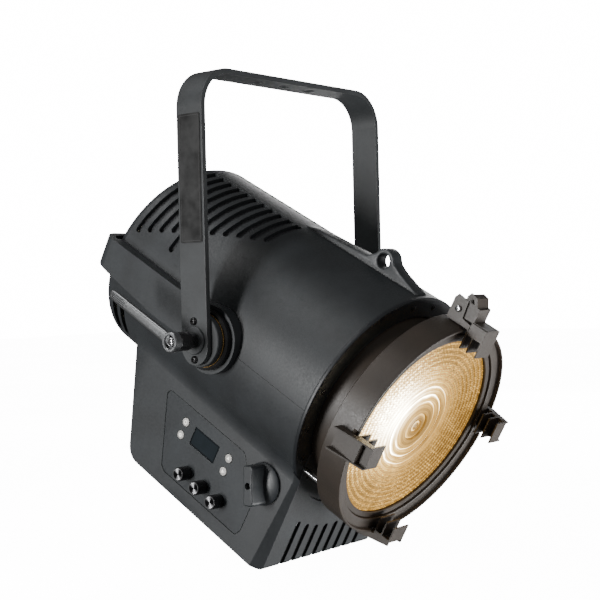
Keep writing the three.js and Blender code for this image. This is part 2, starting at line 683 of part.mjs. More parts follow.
function plainClip(angle) {
  const { half, inner, back, front } = CLIP;
  const seat = RING.outer + 0.5;
  const cheeks = bothCheeks([
    [back, seat], [back, 142], [front, 131], [front, inner], [CLIP.fins[0], inner], [CLIP.fins[0], seat],
  ]);
  const foot = box(-half, half, back, CLIP.fins[0] + 1, seat, 133.5);
  const slotRoof = box(-half, half, CLIP.fins[0], CLIP.fins[1] + SHEET, 131.9, 133.5);
  const frontRoof = box(-half, half, CLIP.fins[1] + 0.5, front, 125.4, 127);
  const fins = join(fin(0, inner, 133), fin(1, inner, 133.5), fin(2, inner, 126.5));
  const body = cut(join(cheeks, foot, slotRoof, frontRoof, fins), slotWay(0, CLIP.wayTop), slotWay(1, CLIP.wayTop));
  return body.transform(new THREE.Matrix4().makeRotationY(angle * DEG).elements);
}

// The top clip keeps its foot and rear fin; its front fins hang from the latch, which lets frames in.
function topClip() {
  const { half, inner, fins } = CLIP;
  const seat = RING.outer + 0.5;
  const cheeks = bothCheeks([
    [187, seat], [187, 153], [190, 158], [204, 156.5], [205.5, 137], [fins[0] + SHEET, 135],
    [fins[0] + SHEET, inner], [fins[0], inner], [fins[0], seat],
  ]);
  const foot = box(-half, half, 187, fins[0] + 1, seat, 131.5);
  const body = join(cheeks, foot, fin(0, inner, 131.5));
  return cut(body, rodX(LATCH_PIN.u, LATCH_PIN.v, 2.4, -20, 20, 12));
}

// Sprung latch over the top clip: an open box on a cross pin, with a thumb tab,
// and a lid that carries the two front fins and the cheeks between them.
function latchFlap() {
  const half = CLIP.half - SHEET - 0.6;
  const wall = [[191, 139], [191, 150], [197, 153.5], [206, 156], [219, 154], [219, 139]];
  const walls = join(prismX(wall, -half, SHEET - half), prismX(wall, half - SHEET, half));
  const face = box(-half, half, 219 - SHEET, 219, 138.2, 154);
  const lid = box(-half, half, 203, CLIP.front, 137.6, 139.4);
  const tab = prismX([[213.5, 152], [208, 160], [203, 162.5], [204, 164.5], [211, 163], [216, 153]], -half, half);
  const tabRoot = box(-half, half, 212, 219, 151.5, 153.5);
  const cheeks = bothCheeks([[218, CLIP.wayTop], [218, 138.5], [CLIP.front, 138.5], [CLIP.front, CLIP.wayTop]]);
  const body = join(walls, face, lid, tab, tabRoot, cheeks, fin(1, CLIP.inner, 138.5), fin(2, CLIP.inner, 138.5));
  return cut(body, rodX(LATCH_PIN.u, LATCH_PIN.v, 2.4, -20, 20, 12));
}

const latchPin = () =>
  turnedX([[0, -15.6], [3, -15.6], [3.6, -14.6], [3.6, -13.3], [2, -13.3], [2, 15], [0, 15]], LATCH_PIN.u, LATCH_PIN.v, 12);
const latchSpring = () =>
  turnedX([[2.7, -7], [4.2, -7], [4.2, 7], [2.7, 7]], LATCH_PIN.u, LATCH_PIN.v, 12);

piece(head, 'lens_tube', lensTube(), darkPaint());
piece(head, 'lens_ring', lensRing(), bronzePaint());
piece(head, 'lens_retainer', lensRetainer(), bronzePaint());
piece(head, 'fresnel_lens', fresnelLens(), paint(0xffe9b8, 0.1, 0));
piece(head, 'guide_rod_left', guideRod(-1), chrome());
piece(head, 'guide_rod_right', guideRod(1), chrome());
piece(head, 'zoom_rack', zoomRack(), steel());
piece(head, 'clip_left', plainClip(-90), bronzePaint());
piece(head, 'clip_right', plainClip(90), bronzePaint());
piece(head, 'clip_bottom', plainClip(180), bronzePaint());
piece(head, 'clip_top', topClip(), bronzePaint());
piece(head, 'latch_flap', latchFlap(), darkPaint());
piece(head, 'latch_pin', latchPin(), chrome());
piece(head, 'latch_spring', latchSpring(), steel());

// ---------------------------------------------------------------- light engine and cooling
const SINK = { half: 62, back: -104, front: 12, fin: 3.5, pitch: 15.5, core: 7 };

const ledModule = () =>
  turned([[0, SINK.front + GAP], [36, SINK.front + GAP], [36, 18], [20, 18], [18, 21], [10, 23.5], [0, 24]], SIDES.disc);

function heatsink() {
  const { half, back, front, fin: thick, pitch, core } = SINK;
  const comb = [];
  for (let k = -4; k <= 4; k += 1) {
    const x = k * pitch;
    comb.push([x - thick / 2, core], [x - thick / 2, half], [x + thick / 2, half], [x + thick / 2, core]);
  }
  const under = comb.map(([x, v]) => [x, -v]).reverse();
  return prismU([...comb, ...under], back, front);
}

const FAN = { half: 60, bore: 56.5, back: -136, front: -111, hub: 17 };

function fanFrame() {
  const { half, bore, back, front, hub } = FAN;
  const square = rounded([[-half, -half], [half, -half], [half, half], [-half, half]], 6, 2);
  const frame = cut(prismU(square, back, front), rodU(0, 0, bore, back - 1, front + 1, 24));
  const spokes = [45, 135].map((angle) =>
    box(-bore - 1, bore + 1, back, back + 3, -2.5, 2.5, new THREE.Matrix4().makeRotationY(angle * DEG)),
  );
  return join(frame, ...spokes, rodU(0, 0, hub, back, back + 3));
}

function fanRotor() {
  const { back, front, hub } = FAN;
  const blades = [];
  for (let k = 0; k < 7; k += 1) {
    const turn = new THREE.Matrix4().makeRotationY(((360 * k) / 7) * DEG);
    blades.push(prismV([[-9, back + 5], [-6, back + 5], [9, front - 3], [6, front - 3]], hub - 3, 54, turn));
  }
  return join(rodU(0, 0, hub, back + 3.6, front - 1.5), ...blades);
}

const powerSupply = () => cut(
  box(-62, 62, -40, 112, -196, -146),
  ...[-40, -20, 0, 20, 40].map((x) => box(x - 4, x + 4, -60, 130, -150, -140)),
);

piece(head, 'led_module', ledModule(), paint(0xf2d98a, 0.4, 0));
piece(head, 'heatsink', heatsink(), aluminium());
piece(head, 'fan_frame', fanFrame(), blackPlastic());
piece(head, 'fan_rotor', fanRotor(), blackPlastic());
piece(head, 'power_supply', powerSupply(), aluminium());

export default part;
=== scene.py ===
import json
import math
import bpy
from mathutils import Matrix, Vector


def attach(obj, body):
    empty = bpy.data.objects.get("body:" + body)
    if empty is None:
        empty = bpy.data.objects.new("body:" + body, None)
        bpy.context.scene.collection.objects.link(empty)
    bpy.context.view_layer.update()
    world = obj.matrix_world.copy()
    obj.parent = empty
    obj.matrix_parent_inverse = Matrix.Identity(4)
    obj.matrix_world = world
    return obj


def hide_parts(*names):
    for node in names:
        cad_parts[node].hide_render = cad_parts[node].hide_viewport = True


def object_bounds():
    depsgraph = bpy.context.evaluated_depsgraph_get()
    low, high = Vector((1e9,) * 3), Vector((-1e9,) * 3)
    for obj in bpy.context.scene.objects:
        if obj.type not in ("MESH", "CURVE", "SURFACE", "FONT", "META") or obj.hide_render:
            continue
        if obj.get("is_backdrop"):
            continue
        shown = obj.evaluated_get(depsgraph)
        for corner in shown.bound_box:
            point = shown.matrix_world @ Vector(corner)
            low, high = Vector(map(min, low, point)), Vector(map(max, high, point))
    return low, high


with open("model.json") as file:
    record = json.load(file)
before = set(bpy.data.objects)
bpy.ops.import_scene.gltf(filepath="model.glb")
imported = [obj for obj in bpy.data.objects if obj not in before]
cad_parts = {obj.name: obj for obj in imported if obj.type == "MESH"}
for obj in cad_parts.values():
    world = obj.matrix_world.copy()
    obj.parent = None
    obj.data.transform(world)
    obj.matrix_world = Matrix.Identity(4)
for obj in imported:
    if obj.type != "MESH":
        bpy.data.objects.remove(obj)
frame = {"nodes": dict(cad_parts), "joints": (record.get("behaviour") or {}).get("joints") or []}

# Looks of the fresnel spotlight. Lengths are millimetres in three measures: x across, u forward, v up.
from types import SimpleNamespace

import bmesh
import bpy
from mathutils import Matrix, Vector

cad_low, cad_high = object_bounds()
MM = 0.001
SIDES = ((-1, "left"), (1, "right"))
DEG = math.pi / 180

# Spaces taken from the joints.
JOINTS = {joint["name"]: joint for joint in frame["joints"]}
PIVOT = Vector(JOINTS["head_tilt"]["pos_m"])
FORWARD = Vector(JOINTS["zoom_slide"]["axis"])
TILT = math.atan2(-FORWARD.z, -FORWARD.y)
STAND = Matrix.Translation(PIVOT)
HEAD = STAND @ Matrix.Rotation(TILT, 4, "X")


def panel_space():
    """The control face's own space: x goes in through the face, u forward, v up along it."""
    knob = JOINTS["zoom_knob_turn"]
    inward = Vector(knob["axis"]).normalized()
    backward = -FORWARD
    up = inward.cross(backward)
    columns = Matrix((inward, backward, up)).transposed().to_4x4()
    return Matrix.Translation(Vector(knob["pos_m"])) @ columns


PANEL = panel_space()


def measures(node, space=HEAD):
    """A CAD node's points as (x, u, v) in a space."""
    back = space.inverted()
    points = [back @ vertex.co / MM for vertex in frame["nodes"][node].data.vertices]
    return [(point.x, -point.y, point.z) for point in points]


def extent(node, space=HEAD):
    """How far a CAD node reaches in x, u and v of a space, and its middle as (u, v)."""
    x, u, v = zip(*measures(node, space))
    size = SimpleNamespace(left=min(x), right=max(x), back=min(u), front=max(u), low=min(v), high=max(v))
    size.centre = ((size.back + size.front) / 2, (size.low + size.high) / 2)
    return size


# Outlines.
def arc(a, b, radius, start, end, steps=12):
    """Points of an arc, angles in degrees."""
    angles = [(start + (end - start) * k / steps) * DEG for k in range(steps + 1)]
    return [(a + radius * math.cos(t), b + radius * math.sin(t)) for t in angles]


def circle(a, b, radius, sides=48):
    return arc(a, b, radius, 0, 360 - 360 / sides, sides - 1)


def rounded(outline, radius, steps=5):
    """The outline with every corner rounded; radius is one number, or one for each corner."""
    points = []
    for k, here in enumerate(outline):
        wanted = radius[k] if isinstance(radius, (list, tuple)) else radius
        corner = Vector(here)
        before = Vector(outline[k - 1]) - corner
        after = Vector(outline[(k + 1) % len(outline)]) - corner
        half = before.angle(after) / 2
        reach = min(wanted / math.tan(half), before.length * 0.48, after.length * 0.48)
        start = corner + before.normalized() * reach
        end = corner + after.normalized() * reach
        for step in range(steps + 1):
            t = step / steps
            points.append(tuple(start * (1 - t) ** 2 + corner * 2 * t * (1 - t) + end * t**2))
    return points


def rectangle(a0, a1, b0, b1):
    return [(a0, b0), (a1, b0), (a1, b1), (a0, b1)]


def moved(points, a, b):
    """Points given from a corner, as an outline's own points."""
    return [(a + p, b + q) for p, q in points]


def face_outline(size, grow, radius):
    """The outline that an extent has in u and v, grown on every side and rounded."""
    outline = rectangle(size.back - grow, size.front + grow, size.low - grow, size.high + grow)
    return rounded(outline, radius)


# Meshes.
def add_object(name, data):
    obj = bpy.data.objects.new(name, data)
    bpy.context.scene.collection.objects.link(obj)
    return obj


def new_object(name, points, faces, space=HEAD):
    """An object from points in x, u, v and faces, with its faces looking outwards."""
    mesh = bpy.data.meshes.new(name)
    mesh.from_pydata([(x * MM, -u * MM, v * MM) for x, u, v in points], [], faces)
    work = bmesh.new()
    work.from_mesh(mesh)
    bmesh.ops.remove_doubles(work, verts=work.verts, dist=1e-7)
    bmesh.ops.recalc_face_normals(work, faces=work.faces)
    work.to_mesh(mesh)
    work.free()
    obj = add_object(name, mesh)
    obj.matrix_world = space
    return obj


def loft(name, rings, space=HEAD, closed=False):
    """Skin through rings of equally many points; it ends in two caps, or joins up when closed."""
    count = len(rings[0])
    points = [point for ring in rings for point in ring]
    faces = []
    spans = len(rings) if closed else len(rings) - 1
    for k in range(spans):
        here, there = k * count, ((k + 1) % len(rings)) * count
        for j in range(count):
            following = (j + 1) % count
            faces.append((here + j, here + following, there + following, there + j))
    if not closed:
        faces.append(tuple(range(count)))
        faces.append(tuple(range((len(rings) - 1) * count, len(rings) * count)))
    return new_object(name, points, faces, space)


LAYS = {
    "x": lambda a, b, depth: (depth, a, b),
    "u": lambda a, b, depth: (a, depth, b),
    "v": lambda a, b, depth: (a, b, depth),
}


def extrude(name, outline, low, high, lay, space=HEAD):
    """An outline pushed along x, u or v; the outline holds the other two measures in order."""
    rings = [[LAYS[lay](a, b, depth) for a, b in outline] for depth in (low, high)]
    return loft(name, rings, space)


def block(name, x0, x1, u0, u1, v0, v1, space=HEAD):
    return extrude(name, rectangle(x0, x1, u0, u1), v0, v1, "v", space)


def turned(name, profile, lay="u", centre=(0, 0), space=HEAD, sides=128):
    """A profile of (radius, depth) turned about a line along x or u; its ends may lie on the line."""
    a, b = centre
    solid = profile[0][0] == 0
    inner = profile[1:-1] if solid else profile
    rings = []
    for k in range(sides):
        angle = 2 * math.pi * k / sides
        cos, sin = math.cos(angle), math.sin(angle)
        rings.append([LAYS[lay](a + r * cos, b + r * sin, depth) for r, depth in inner])
    if not solid:
        return loft(name, rings, space, closed=True)
    points = [point for ring in rings for point in ring]
    points += [LAYS[lay](a, b, profile[0][1]), LAYS[lay](a, b, profile[-1][1])]
    count = len(inner)
    first, last = sides * count, sides * count + 1
    faces = []
    for k in range(sides):
        here, there = k * count, ((k + 1) % sides) * count
        faces += [(here + j, here + j + 1, there + j + 1, there + j) for j in range(count - 1)]
        faces.append((first, here, there))
        faces.append((last, there + count - 1, here + count - 1))
    return new_object(name, points, faces, space)


def rod(name, radius, low, high, lay="x", centre=(0, 0), space=HEAD, sides=48, chamfer=0.0):
    profile = [(0, low), (radius - chamfer, low), (radius, low + chamfer)]
    profile += [(radius, high - chamfer), (radius - chamfer, high), (0, high)]
    return turned(name, profile, lay, centre, space, sides)


def bake(obj):
    """Turns an object's modifiers into mesh."""
    graph = bpy.context.evaluated_depsgraph_get()
    made = bpy.data.meshes.new_from_object(obj.evaluated_get(graph))
    obj.modifiers.clear()
    old = obj.data
    obj.data = made
    bpy.data.meshes.remove(old)
    return obj


def boolean(body, tools, operation):
    for tool in tools:
        step = body.modifiers.new("boolean", "BOOLEAN")
        step.object = tool
        step.operation = operation
        step.solver = "EXACT"
    bake(body)
    for tool in tools:
        bpy.data.objects.remove(tool)
    return body


def merged(name, objects):
    """Several separate solids as one object."""
    first = objects[0]
    work = bmesh.new()
    for obj in objects:
        mesh = obj.data.copy()
        mesh.transform(first.matrix_world.inverted() @ obj.matrix_world)
        work.from_mesh(mesh)
        bpy.data.meshes.remove(mesh)
    work.to_mesh(first.data)
    work.free()
    for obj in objects[1:]:
        bpy.data.objects.remove(obj)
    first.name = name
    return first


def cut(body, *tools):
    return boolean(body, tools, "DIFFERENCE")


def unite(body, *tools):
    return boolean(body, tools, "UNION")


def keep_within(body, *tools):
    return boolean(body, tools, "INTERSECT")


def bevel(obj, width, angle, segments=2):
    """A modifier that rounds off the edges sharper than an angle."""
    step = obj.modifiers.new("soften", "BEVEL")
    step.width = width * MM
    step.segments = segments
    step.limit_method = "ANGLE"
    step.angle_limit = angle * DEG
    return step


def soften(obj, width, angle=32, segments=2):
    bevel(obj, width, angle, segments)
    return bake(obj)


def settle(obj):
    """Moves an object's place into its mesh, so that its box follows the row's axes."""
    obj.data.transform(obj.matrix_world)
    obj.matrix_world = Matrix.Identity(4)


FLAT_AREA = 1500 * MM**2  # a wall wider than this keeps one normal
FLAT_TURN = math.cos(28 * DEG)  # and gives it to the bevels beside it, up to this turn
CONE_NEAR = 0.12


def dress(obj, body, slot, nodes=(), smooth=35, material=None, own_space=False, cone=None):
    """Shades a finished piece, gives it its material and hangs it on a body.

    own_space keeps the piece's own coordinates for its material; cone names its drum surface.
    """
    obj.data.shade_smooth()
    obj.data.set_sharp_from_angle(angle=smooth * DEG)
    if cone:
        straighten_cone(obj.data, cone)
    else:
        obj.modifiers.new("even_flats", "WEIGHTED_NORMAL").keep_sharp = True
    if not own_space:
        settle(obj)
    obj.data.materials.clear()
    obj.data.materials.append(material or MATERIALS[slot])
    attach(obj, body)
    if nodes:
        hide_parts(*nodes)
    return obj


def straighten_cone(mesh, radius_at):
    """Gives the drum's faces the cone's true normals, and keeps the wide flat walls flat."""
    slope = (radius_at(100) - radius_at(0)) / 100
    on_cone = []
    for vertex in mesh.vertices:
        x, u, v = vertex.co.x / MM, -vertex.co.y / MM, vertex.co.z / MM
        on_cone.append(abs(math.hypot(x, v) - radius_at(u)) < CONE_NEAR)
    curved = [all(on_cone[k] for k in face.vertices) for face in mesh.polygons]
    walls = {}
    for face in mesh.polygons:
        if not curved[face.index] and face.area > FLAT_AREA:
            for k in face.vertices:
                walls.setdefault(k, []).append(face.normal.copy())
    normals = [(0, 0, 0)] * len(mesh.loops)
    for face in mesh.polygons:
        for k in face.loop_indices:
            corner = mesh.loops[k].vertex_index
            if curved[face.index]:
                point = mesh.vertices[corner].co
                outward = Vector((point.x, 0, point.z)).normalized()
                normals[k] = (outward + Vector((0, slope, 0))).normalized()
                continue
            near = [wall for wall in walls.get(corner, []) if wall.dot(face.normal) > FLAT_TURN]
            if near:
                normals[k] = max(near, key=face.normal.dot)
    mesh.normals_split_custom_set(normals)


# Materials.
def shader(name, colour, roughness, metallic=0.0):
    """A new material with its principled shader and object coordinates."""
    material = bpy.data.materials.new(name)
    material.use_nodes = True
    tree = material.node_tree
    surface = tree.nodes["Principled BSDF"]
    place = tree.nodes.new("ShaderNodeTexCoord").outputs["Object"]
    made = SimpleNamespace(material=material, tree=tree, surface=surface, place=place)
    feed(made, "Base Color", (*colour, 1))
    feed(made, "Roughness", roughness)
    feed(made, "Metallic", metallic)
    return made


def fill(made, socket, value):
    """Links another node's output to a socket, or sets the socket's own value."""
    if isinstance(value, bpy.types.NodeSocket):
        made.tree.links.new(value, socket)
    else:
        socket.default_value = value


def add_node(made, kind, inputs):
    node = made.tree.nodes.new("ShaderNode" + kind)
    for name, value in inputs.items():
        fill(made, node.inputs[name], value)
    return node


def feed(made, name, value):
    """Gives one of the surface's inputs its value."""
    fill(made, made.surface.inputs[name], value)


def glow(made, colour, strength):
    feed(made, "Emission Color", (*colour, 1))
    feed(made, "Emission Strength", strength)


def noise(made, scale, detail=3, stretch=None):
    """A noise value in object space, optionally stretched along an axis."""
    source = made.place
    if stretch:
        source = add_node(made, "Mapping", {"Vector": source, "Scale": stretch}).outputs["Vector"]
    return add_node(made, "TexNoise", {"Scale": scale, "Detail": detail, "Vector": source}).outputs["Fac"]


def cells(made, scale, randomness):
    """Distance to the middle of the nearest cell of a pattern in object space."""
    inputs = {"Scale": scale, "Randomness": randomness, "Vector": made.place}
    return add_node(made, "TexVoronoi", inputs).outputs["Distance"]


def remap(made, value, low, high, from_low=0.3, from_high=0.7):
    inputs = {"From Min": from_low, "From Max": from_high, "To Min": low, "To Max": high, "Value": value}
    return add_node(made, "MapRange", inputs).outputs["Result"]


def blend_colour(made, factor, low, high):
    node = add_node(made, "Mix", {"Factor": factor})
    node.data_type = "RGBA"
    for letter, value in (("A", low), ("B", high)):
        socket = [s for s in node.inputs if s.name == letter and s.type == "RGBA"][0]
        fill(made, socket, (*value, 1) if isinstance(value, tuple) else value)
    return [s for s in node.outputs if s.type == "RGBA"][0]


def bump(made, height, strength, distance):
    node = add_node(made, "Bump", {"Strength": strength, "Distance": distance * MM, "Height": height})
    feed(made, "Normal", node.outputs["Normal"])


def powder_coat(name, colour, roughness=0.5, grain=0.35, size=950):
    """Baked powder paint: fine pebbled skin, slight cloudiness, small light specks."""
    made = shader(name, colour, roughness)
    dark = tuple(c * 0.78 for c in colour)
    light = tuple(c * 1.3 for c in colour)
    cloud = blend_colour(made, remap(made, noise(made, 26, 4), 0, 1), dark, light)
    speck = blend_colour(made, remap(made, noise(made, size * 1.7, 2), 0, 0.55, 0.5, 0.75), cloud, light)
    feed(made, "Base Color", speck)
    feed(made, "Roughness", remap(made, noise(made, size * 0.5, 3), roughness - 0.07, roughness + 0.09))
    bump(made, noise(made, size, 2), grain, 0.25)
    return made.material


def metal(name, colour, roughness, stretch=(1, 1, 1), size=500):
    """Bare metal with fine working marks along the stretched direction."""
    made = shader(name, colour, roughness, 1.0)
    dark = tuple(c * 0.82 for c in colour)
    marks = noise(made, size, 4, stretch)
    feed(made, "Base Color", blend_colour(made, remap(made, marks, 0, 1), dark, colour))
    feed(made, "Roughness", remap(made, marks, roughness * 0.75, roughness * 1.35))
    bump(made, marks, 0.12, 0.08)
    return made.material


def moulded(name, colour, roughness, size=700, grain=0.1):
    """Moulded plastic with a faint texture and handling marks."""
    made = shader(name, colour, roughness)
    light = tuple(min(1.0, c * 1.25 + 0.002) for c in colour)
    cloud = blend_colour(made, remap(made, noise(made, 40, 3), 0, 1), colour, light)
    feed(made, "Base Color", cloud)
    feed(made, "Roughness", remap(made, noise(made, 60, 5), roughness * 0.8, roughness * 1.25))
    bump(made, noise(made, size, 2), grain, 0.1)
    return made.material


def perforated(name):
    """Black sheet with rows of small round holes, shown as darker pits of painted shade."""
    made = shader(name, (0.012, 0.012, 0.013), 0.5)
    edge = remap(made, cells(made, 420, 0.15), 0, 1, 0.28, 0.4)
    # The near-black pits are painted shade where the holes would look into darkness.
    feed(made, "Base Color", blend_colour(made, edge, (0.002, 0.002, 0.002), (0.035, 0.037, 0.04)))
    bump(made, edge, 0.6, 0.5)
    return made.material


def window_glass(name, colour):
    made = shader(name, colour, 0.08)
    feed(made, "Coat Weight", 0.5)
    light = tuple(c * 1.6 for c in colour)
    feed(made, "Base Color", blend_colour(made, noise(made, 90, 3), colour, light))
    feed(made, "Roughness", remap(made, noise(made, 45, 4), 0.05, 0.16))
    return made.material


def math_node(made, operation, a, b=None):
    node = add_node(made, "Math", {0: a} if b is None else {0: a, 1: b})
    node.operation = operation
    return node.outputs["Value"]


def times(made, a, b):
    return math_node(made, "MULTIPLY", a, b)


LENS_RINGS = (8, 17, 32, 41, 51)  # the wide inner zones of the lens; finer ones follow outwards
FINE_RING = 6.4
LENS_DARKEST = 0.11  # glow of the dimmest glass
LENS_SPAN = 100.0  # how many times brighter the brightest glass glows


def lens_rings(rim):
    rings = list(LENS_RINGS)
    while rings[-1] + FINE_RING < rim:
        rings.append(rings[-1] + FINE_RING)
    return rings


def ring_lines(made, share, rim):
    """Thin bright lines at the lens's zone edges, from 0 to 1, as a ramp over the radius."""
    node = add_node(made, "ValToRGB", {"Fac": share})
    ramp = node.color_ramp
    ramp.elements.remove(ramp.elements[-1])
    ramp.elements[0].position = 0.0
    ramp.elements[0].color = (0, 0, 0, 1)
    for k, ring in enumerate(lens_rings(rim)[:9]):
        peak = 1.0 if k < len(LENS_RINGS) else 0.4
        for radius, value in ((ring - 2.6, 0.0), (ring, peak), (ring + 1.1, 0.06)):
            ramp.elements.new(radius / rim).color = (value, value, value, 1)
    ramp.elements.new(1.0).color = (0, 0, 0, 1)
    return node.outputs["Color"]


def sine_wave(made, radius, period, amplitude):
    wave = math_node(made, "SINE", times(made, radius, 2 * math.pi / (period * MM)))
    return times(made, wave, amplitude)


def near_spot(made, place, spot, inner, outer):
    """1 within the inner distance of a spot, falling to 0 at the outer distance."""
    node = add_node(made, "VectorMath", {0: place, 1: (spot[0] * MM, 0, spot[1] * MM)})
    node.operation = "DISTANCE"
    return remap(made, node.outputs["Value"], 1.0, 0.0, inner * MM, outer * MM)


def added(made, *terms):
    total = terms[0]
    for term in terms[1:]:
        total = math_node(made, "ADD", total, term)
    return total


def glowing_lens(name, rim):
    """Lit glass: bright zone edges over a gold ground, stippled outside; a painted highlight, the LED as seen
    through the glass from one side, makes it hottest left of the middle, with painted shade on the right.
    """
    made = shader(name, (0.16, 0.1, 0.035), 0.3)
    feed(made, "Specular IOR Level", 0.15)
    split = add_node(made, "SeparateXYZ", {"Vector": made.place}).outputs
    flat = add_node(made, "CombineXYZ", {"X": split["X"], "Z": split["Z"]}).outputs["Vector"]
    length = add_node(made, "VectorMath", {0: flat})
    length.operation = "LENGTH"
    wobble = times(made, noise(made, 55, 2), 0.0035)
    radius = math_node(made, "ADD", length.outputs["Value"], wobble)
    share = math_node(made, "DIVIDE", radius, rim * MM)

    pebble = remap(made, cells(made, 330, 0.3), 0.15, -0.26, 0.1, 0.6)
    outer = remap(made, share, 0, 1, 0.42, 0.7)

    # Painted highlight: a fixed glare left of the middle stands in for the LED seen through the glass from
    # one side; the far side gets painted shade.
    painted_led_glare = near_spot(made, flat, (-0.56 * rim, 0.2 * rim), 0.16 * rim, 0.95 * rim)
    painted_led_glare = times(made, math_node(made, "POWER", painted_led_glare, 1.4), 0.6)
    painted_dim_side = near_spot(made, flat, (0.62 * rim, -0.1 * rim), 0.1 * rim, 0.8 * rim)
    middle = remap(made, share, -0.3, 0.0, 0.19, 0.34)
    streaks = times(made, noise(made, 38, 3, (2.5, 1, 0.6)), 0.18)
    level = added(
        made,
        0.36,
        times(made, ring_lines(made, share, rim), 0.46),
        sine_wave(made, radius, 2.1, 0.045),
        sine_wave(made, radius, FINE_RING, 0.07),
        times(made, outer, pebble),
        painted_led_glare,
        times(made, painted_dim_side, -0.1),
        middle,
        streaks,
    )
    tint = add_node(made, "ValToRGB", {"Fac": level})
    tint.color_ramp.elements[0].position = 0.15
    tint.color_ramp.elements[0].color = (1.0, 0.48, 0.08, 1)
    tint.color_ramp.elements[1].position = 1.0
    tint.color_ramp.elements[1].color = (1.0, 0.9, 0.66, 1)
    gold = tint.color_ramp.elements.new(0.62)
    gold.color = (1.0, 0.6, 0.15, 1)
    feed(made, "Emission Color", tint.outputs["Color"])
    feed(made, "Emission Strength", times(made, math_node(made, "POWER", LENS_SPAN, level), LENS_DARKEST))
    feed(made, "Roughness", remap(made, noise(made, 500, 2), 0.2, 0.32))
    bump(made, times(made, pebble, outer), 0.5, 0.5)
    return made.material


def lit_phosphor(name):
    made = shader(name, (1.0, 0.78, 0.35), 0.5)
    glow(made, (1.0, 0.78, 0.42), remap(made, noise(made, 300, 2), 1.5, 3.0))
    return made.material


RIM = extent("fresnel_lens").right
RECIPES = (
    (powder_coat, "body_paint", (0.019, 0.0215, 0.0235), 0.47),
    (powder_coat, "yoke_paint", (0.026, 0.0285, 0.030), 0.45, 0.25, 1100),
    (powder_coat, "dark_paint", (0.007, 0.0085, 0.0105), 0.42, 0.2, 1200),
    (powder_coat, "bronze_paint", (0.032, 0.0245, 0.0185), 0.44, 0.15, 1200),
    (moulded, "label_black", (0.0012, 0.0012, 0.0012), 0.7, 900, 0.05),
    (moulded, "black_plastic", (0.006, 0.006, 0.0065), 0.28),
    (powder_coat, "panel_plastic", (0.016, 0.019, 0.0215), 0.42, 0.12, 1300),
    (window_glass, "display_glass", (0.004, 0.006, 0.008)),
    (moulded, "button_pale", (0.42, 0.41, 0.39), 0.4),
    (moulded, "board_green", (0.01, 0.07, 0.025), 0.4, 200, 0.3),
    (metal, "brass_ring", (0.75, 0.48, 0.17), 0.28),
    (metal, "chrome_part", (0.72, 0.72, 0.73), 0.12, (1, 6, 1)),
    (metal, "steel_part", (0.27, 0.275, 0.28), 0.34, (6, 1, 6)),
    (metal, "cast_aluminium", (0.55, 0.55, 0.56), 0.45, (1, 8, 1)),
    (glowing_lens, "lens_glass", RIM),
    (lit_phosphor, "led_phosphor"),
)
MATERIALS = {name: recipe(name, *values) for recipe, name, *values in RECIPES}
SCREEN = perforated("perforated_screen")

# Yoke.
BAR_THICK = 6
BAR_CORNER = 44
HOLE_PITCH = 45.6
HOLE_RADIUS = 6.5
ARM_SCREW_RADIUS = 4.2
ARM_SCREW_HIGH = 2.8
PIVOT_BORE = 6.2
STUD_RADIUS = 5.8
SMOOTH_DISC = 14  # the CAD discs above this radius have 16 flats inside their true circle


def yoke():
    size = extent("yoke", STAND)
    half, top, bottom, bar = size.right, size.high, size.low, size.front
    inner = BAR_CORNER - BAR_THICK
    left = (-half + BAR_CORNER, top - BAR_CORNER)
    right = (half - BAR_CORNER, top - BAR_CORNER)
    outside = arc(*left, BAR_CORNER, 180, 90, 24) + arc(*right, BAR_CORNER, 90, 0, 24)
    inside = arc(*left, inner, 180, 90, 24) + arc(*right, inner, 90, 0, 24)
    outline = [(-half, bottom), *outside, (half, bottom), (half - BAR_THICK, bottom)]
    outline += [*reversed(inside), (-half + BAR_THICK, bottom)]
    body = extrude("yoke_bar", outline, -bar, bar, "u", STAND)
    end = arc(0, bottom + bar, bar, 180, 360, 40) + [(bar, top + 5), (-bar, top + 5)]
    keep_within(body, extrude("end", end, -half - 5, half + 5, "x", STAND))
    holes = [
        extrude("hole", circle(k * HOLE_PITCH, 0, HOLE_RADIUS), top - 20, top + 5, "v", STAND)
        for k in (-1, 0, 1)
    ]
    cut(body, merged("holes", holes))
    soften(body, 1.0)
    dress(body, "yoke", "yoke_paint", ["yoke"])


def rating_label():
    size = extent("rating_label", STAND)
    face = size.left
    label = extrude("rating_label_film", face_outline(size, 0, 2.5), face, size.right, "x", STAND)
    dress(label, "yoke", "label_black", ["rating_label"])
    border = extrude("label_border", face_outline(size, -2, 1.5), face - 0.05, face + 0.1, "x", STAND)
    cut(border, extrude("inner", face_outline(size, -2.4, 1.3), face - 2, face + 2, "x", STAND))
    dress(border, "yoke", "label_black", material=moulded("label_border", (0.02, 0.02, 0.02), 0.5))


def cross_head(name, radius, high, lay, centre, depth, space, toward):
    """Pan head of a cross-recess screw; `toward` is +1 or -1 along its axis, away from the work."""
    tip = depth + toward * high
    profile = [(0, depth), (radius, depth), (radius, depth + toward * high * 0.45)]
    profile += [(radius * 0.86, depth + toward * high * 0.8), (radius * 0.6, tip), (0, tip)]
    head = turned(name, profile, lay, centre, space, 40)
    a, b = centre
    arm, thin = radius * 0.55, radius * 0.13
    span = sorted((tip + toward, tip - toward * high * 0.6))
    first = extrude("arm", rectangle(a - arm, a + arm, b - thin, b + thin), *span, lay, space)
    second = extrude("arm", rectangle(a - thin, a + thin, b - arm, b + arm), *span, lay, space)
    return cut(head, first, second)


def arm_screws():
    for side, word in SIDES:
        for row in ("upper", "lower"):
            node = f"arm_screw_{word}_{row}"
            size = extent(node, STAND)
            seat = (size.left if side < 0 else size.right) - side * ARM_SCREW_HIGH
            head = (f"{node}_head", ARM_SCREW_RADIUS, ARM_SCREW_HIGH)
            screw = cross_head(*head, "x", size.centre, seat, STAND, side)
            dress(screw, "yoke", "dark_paint", [node], material=MATERIALS["black_plastic"])


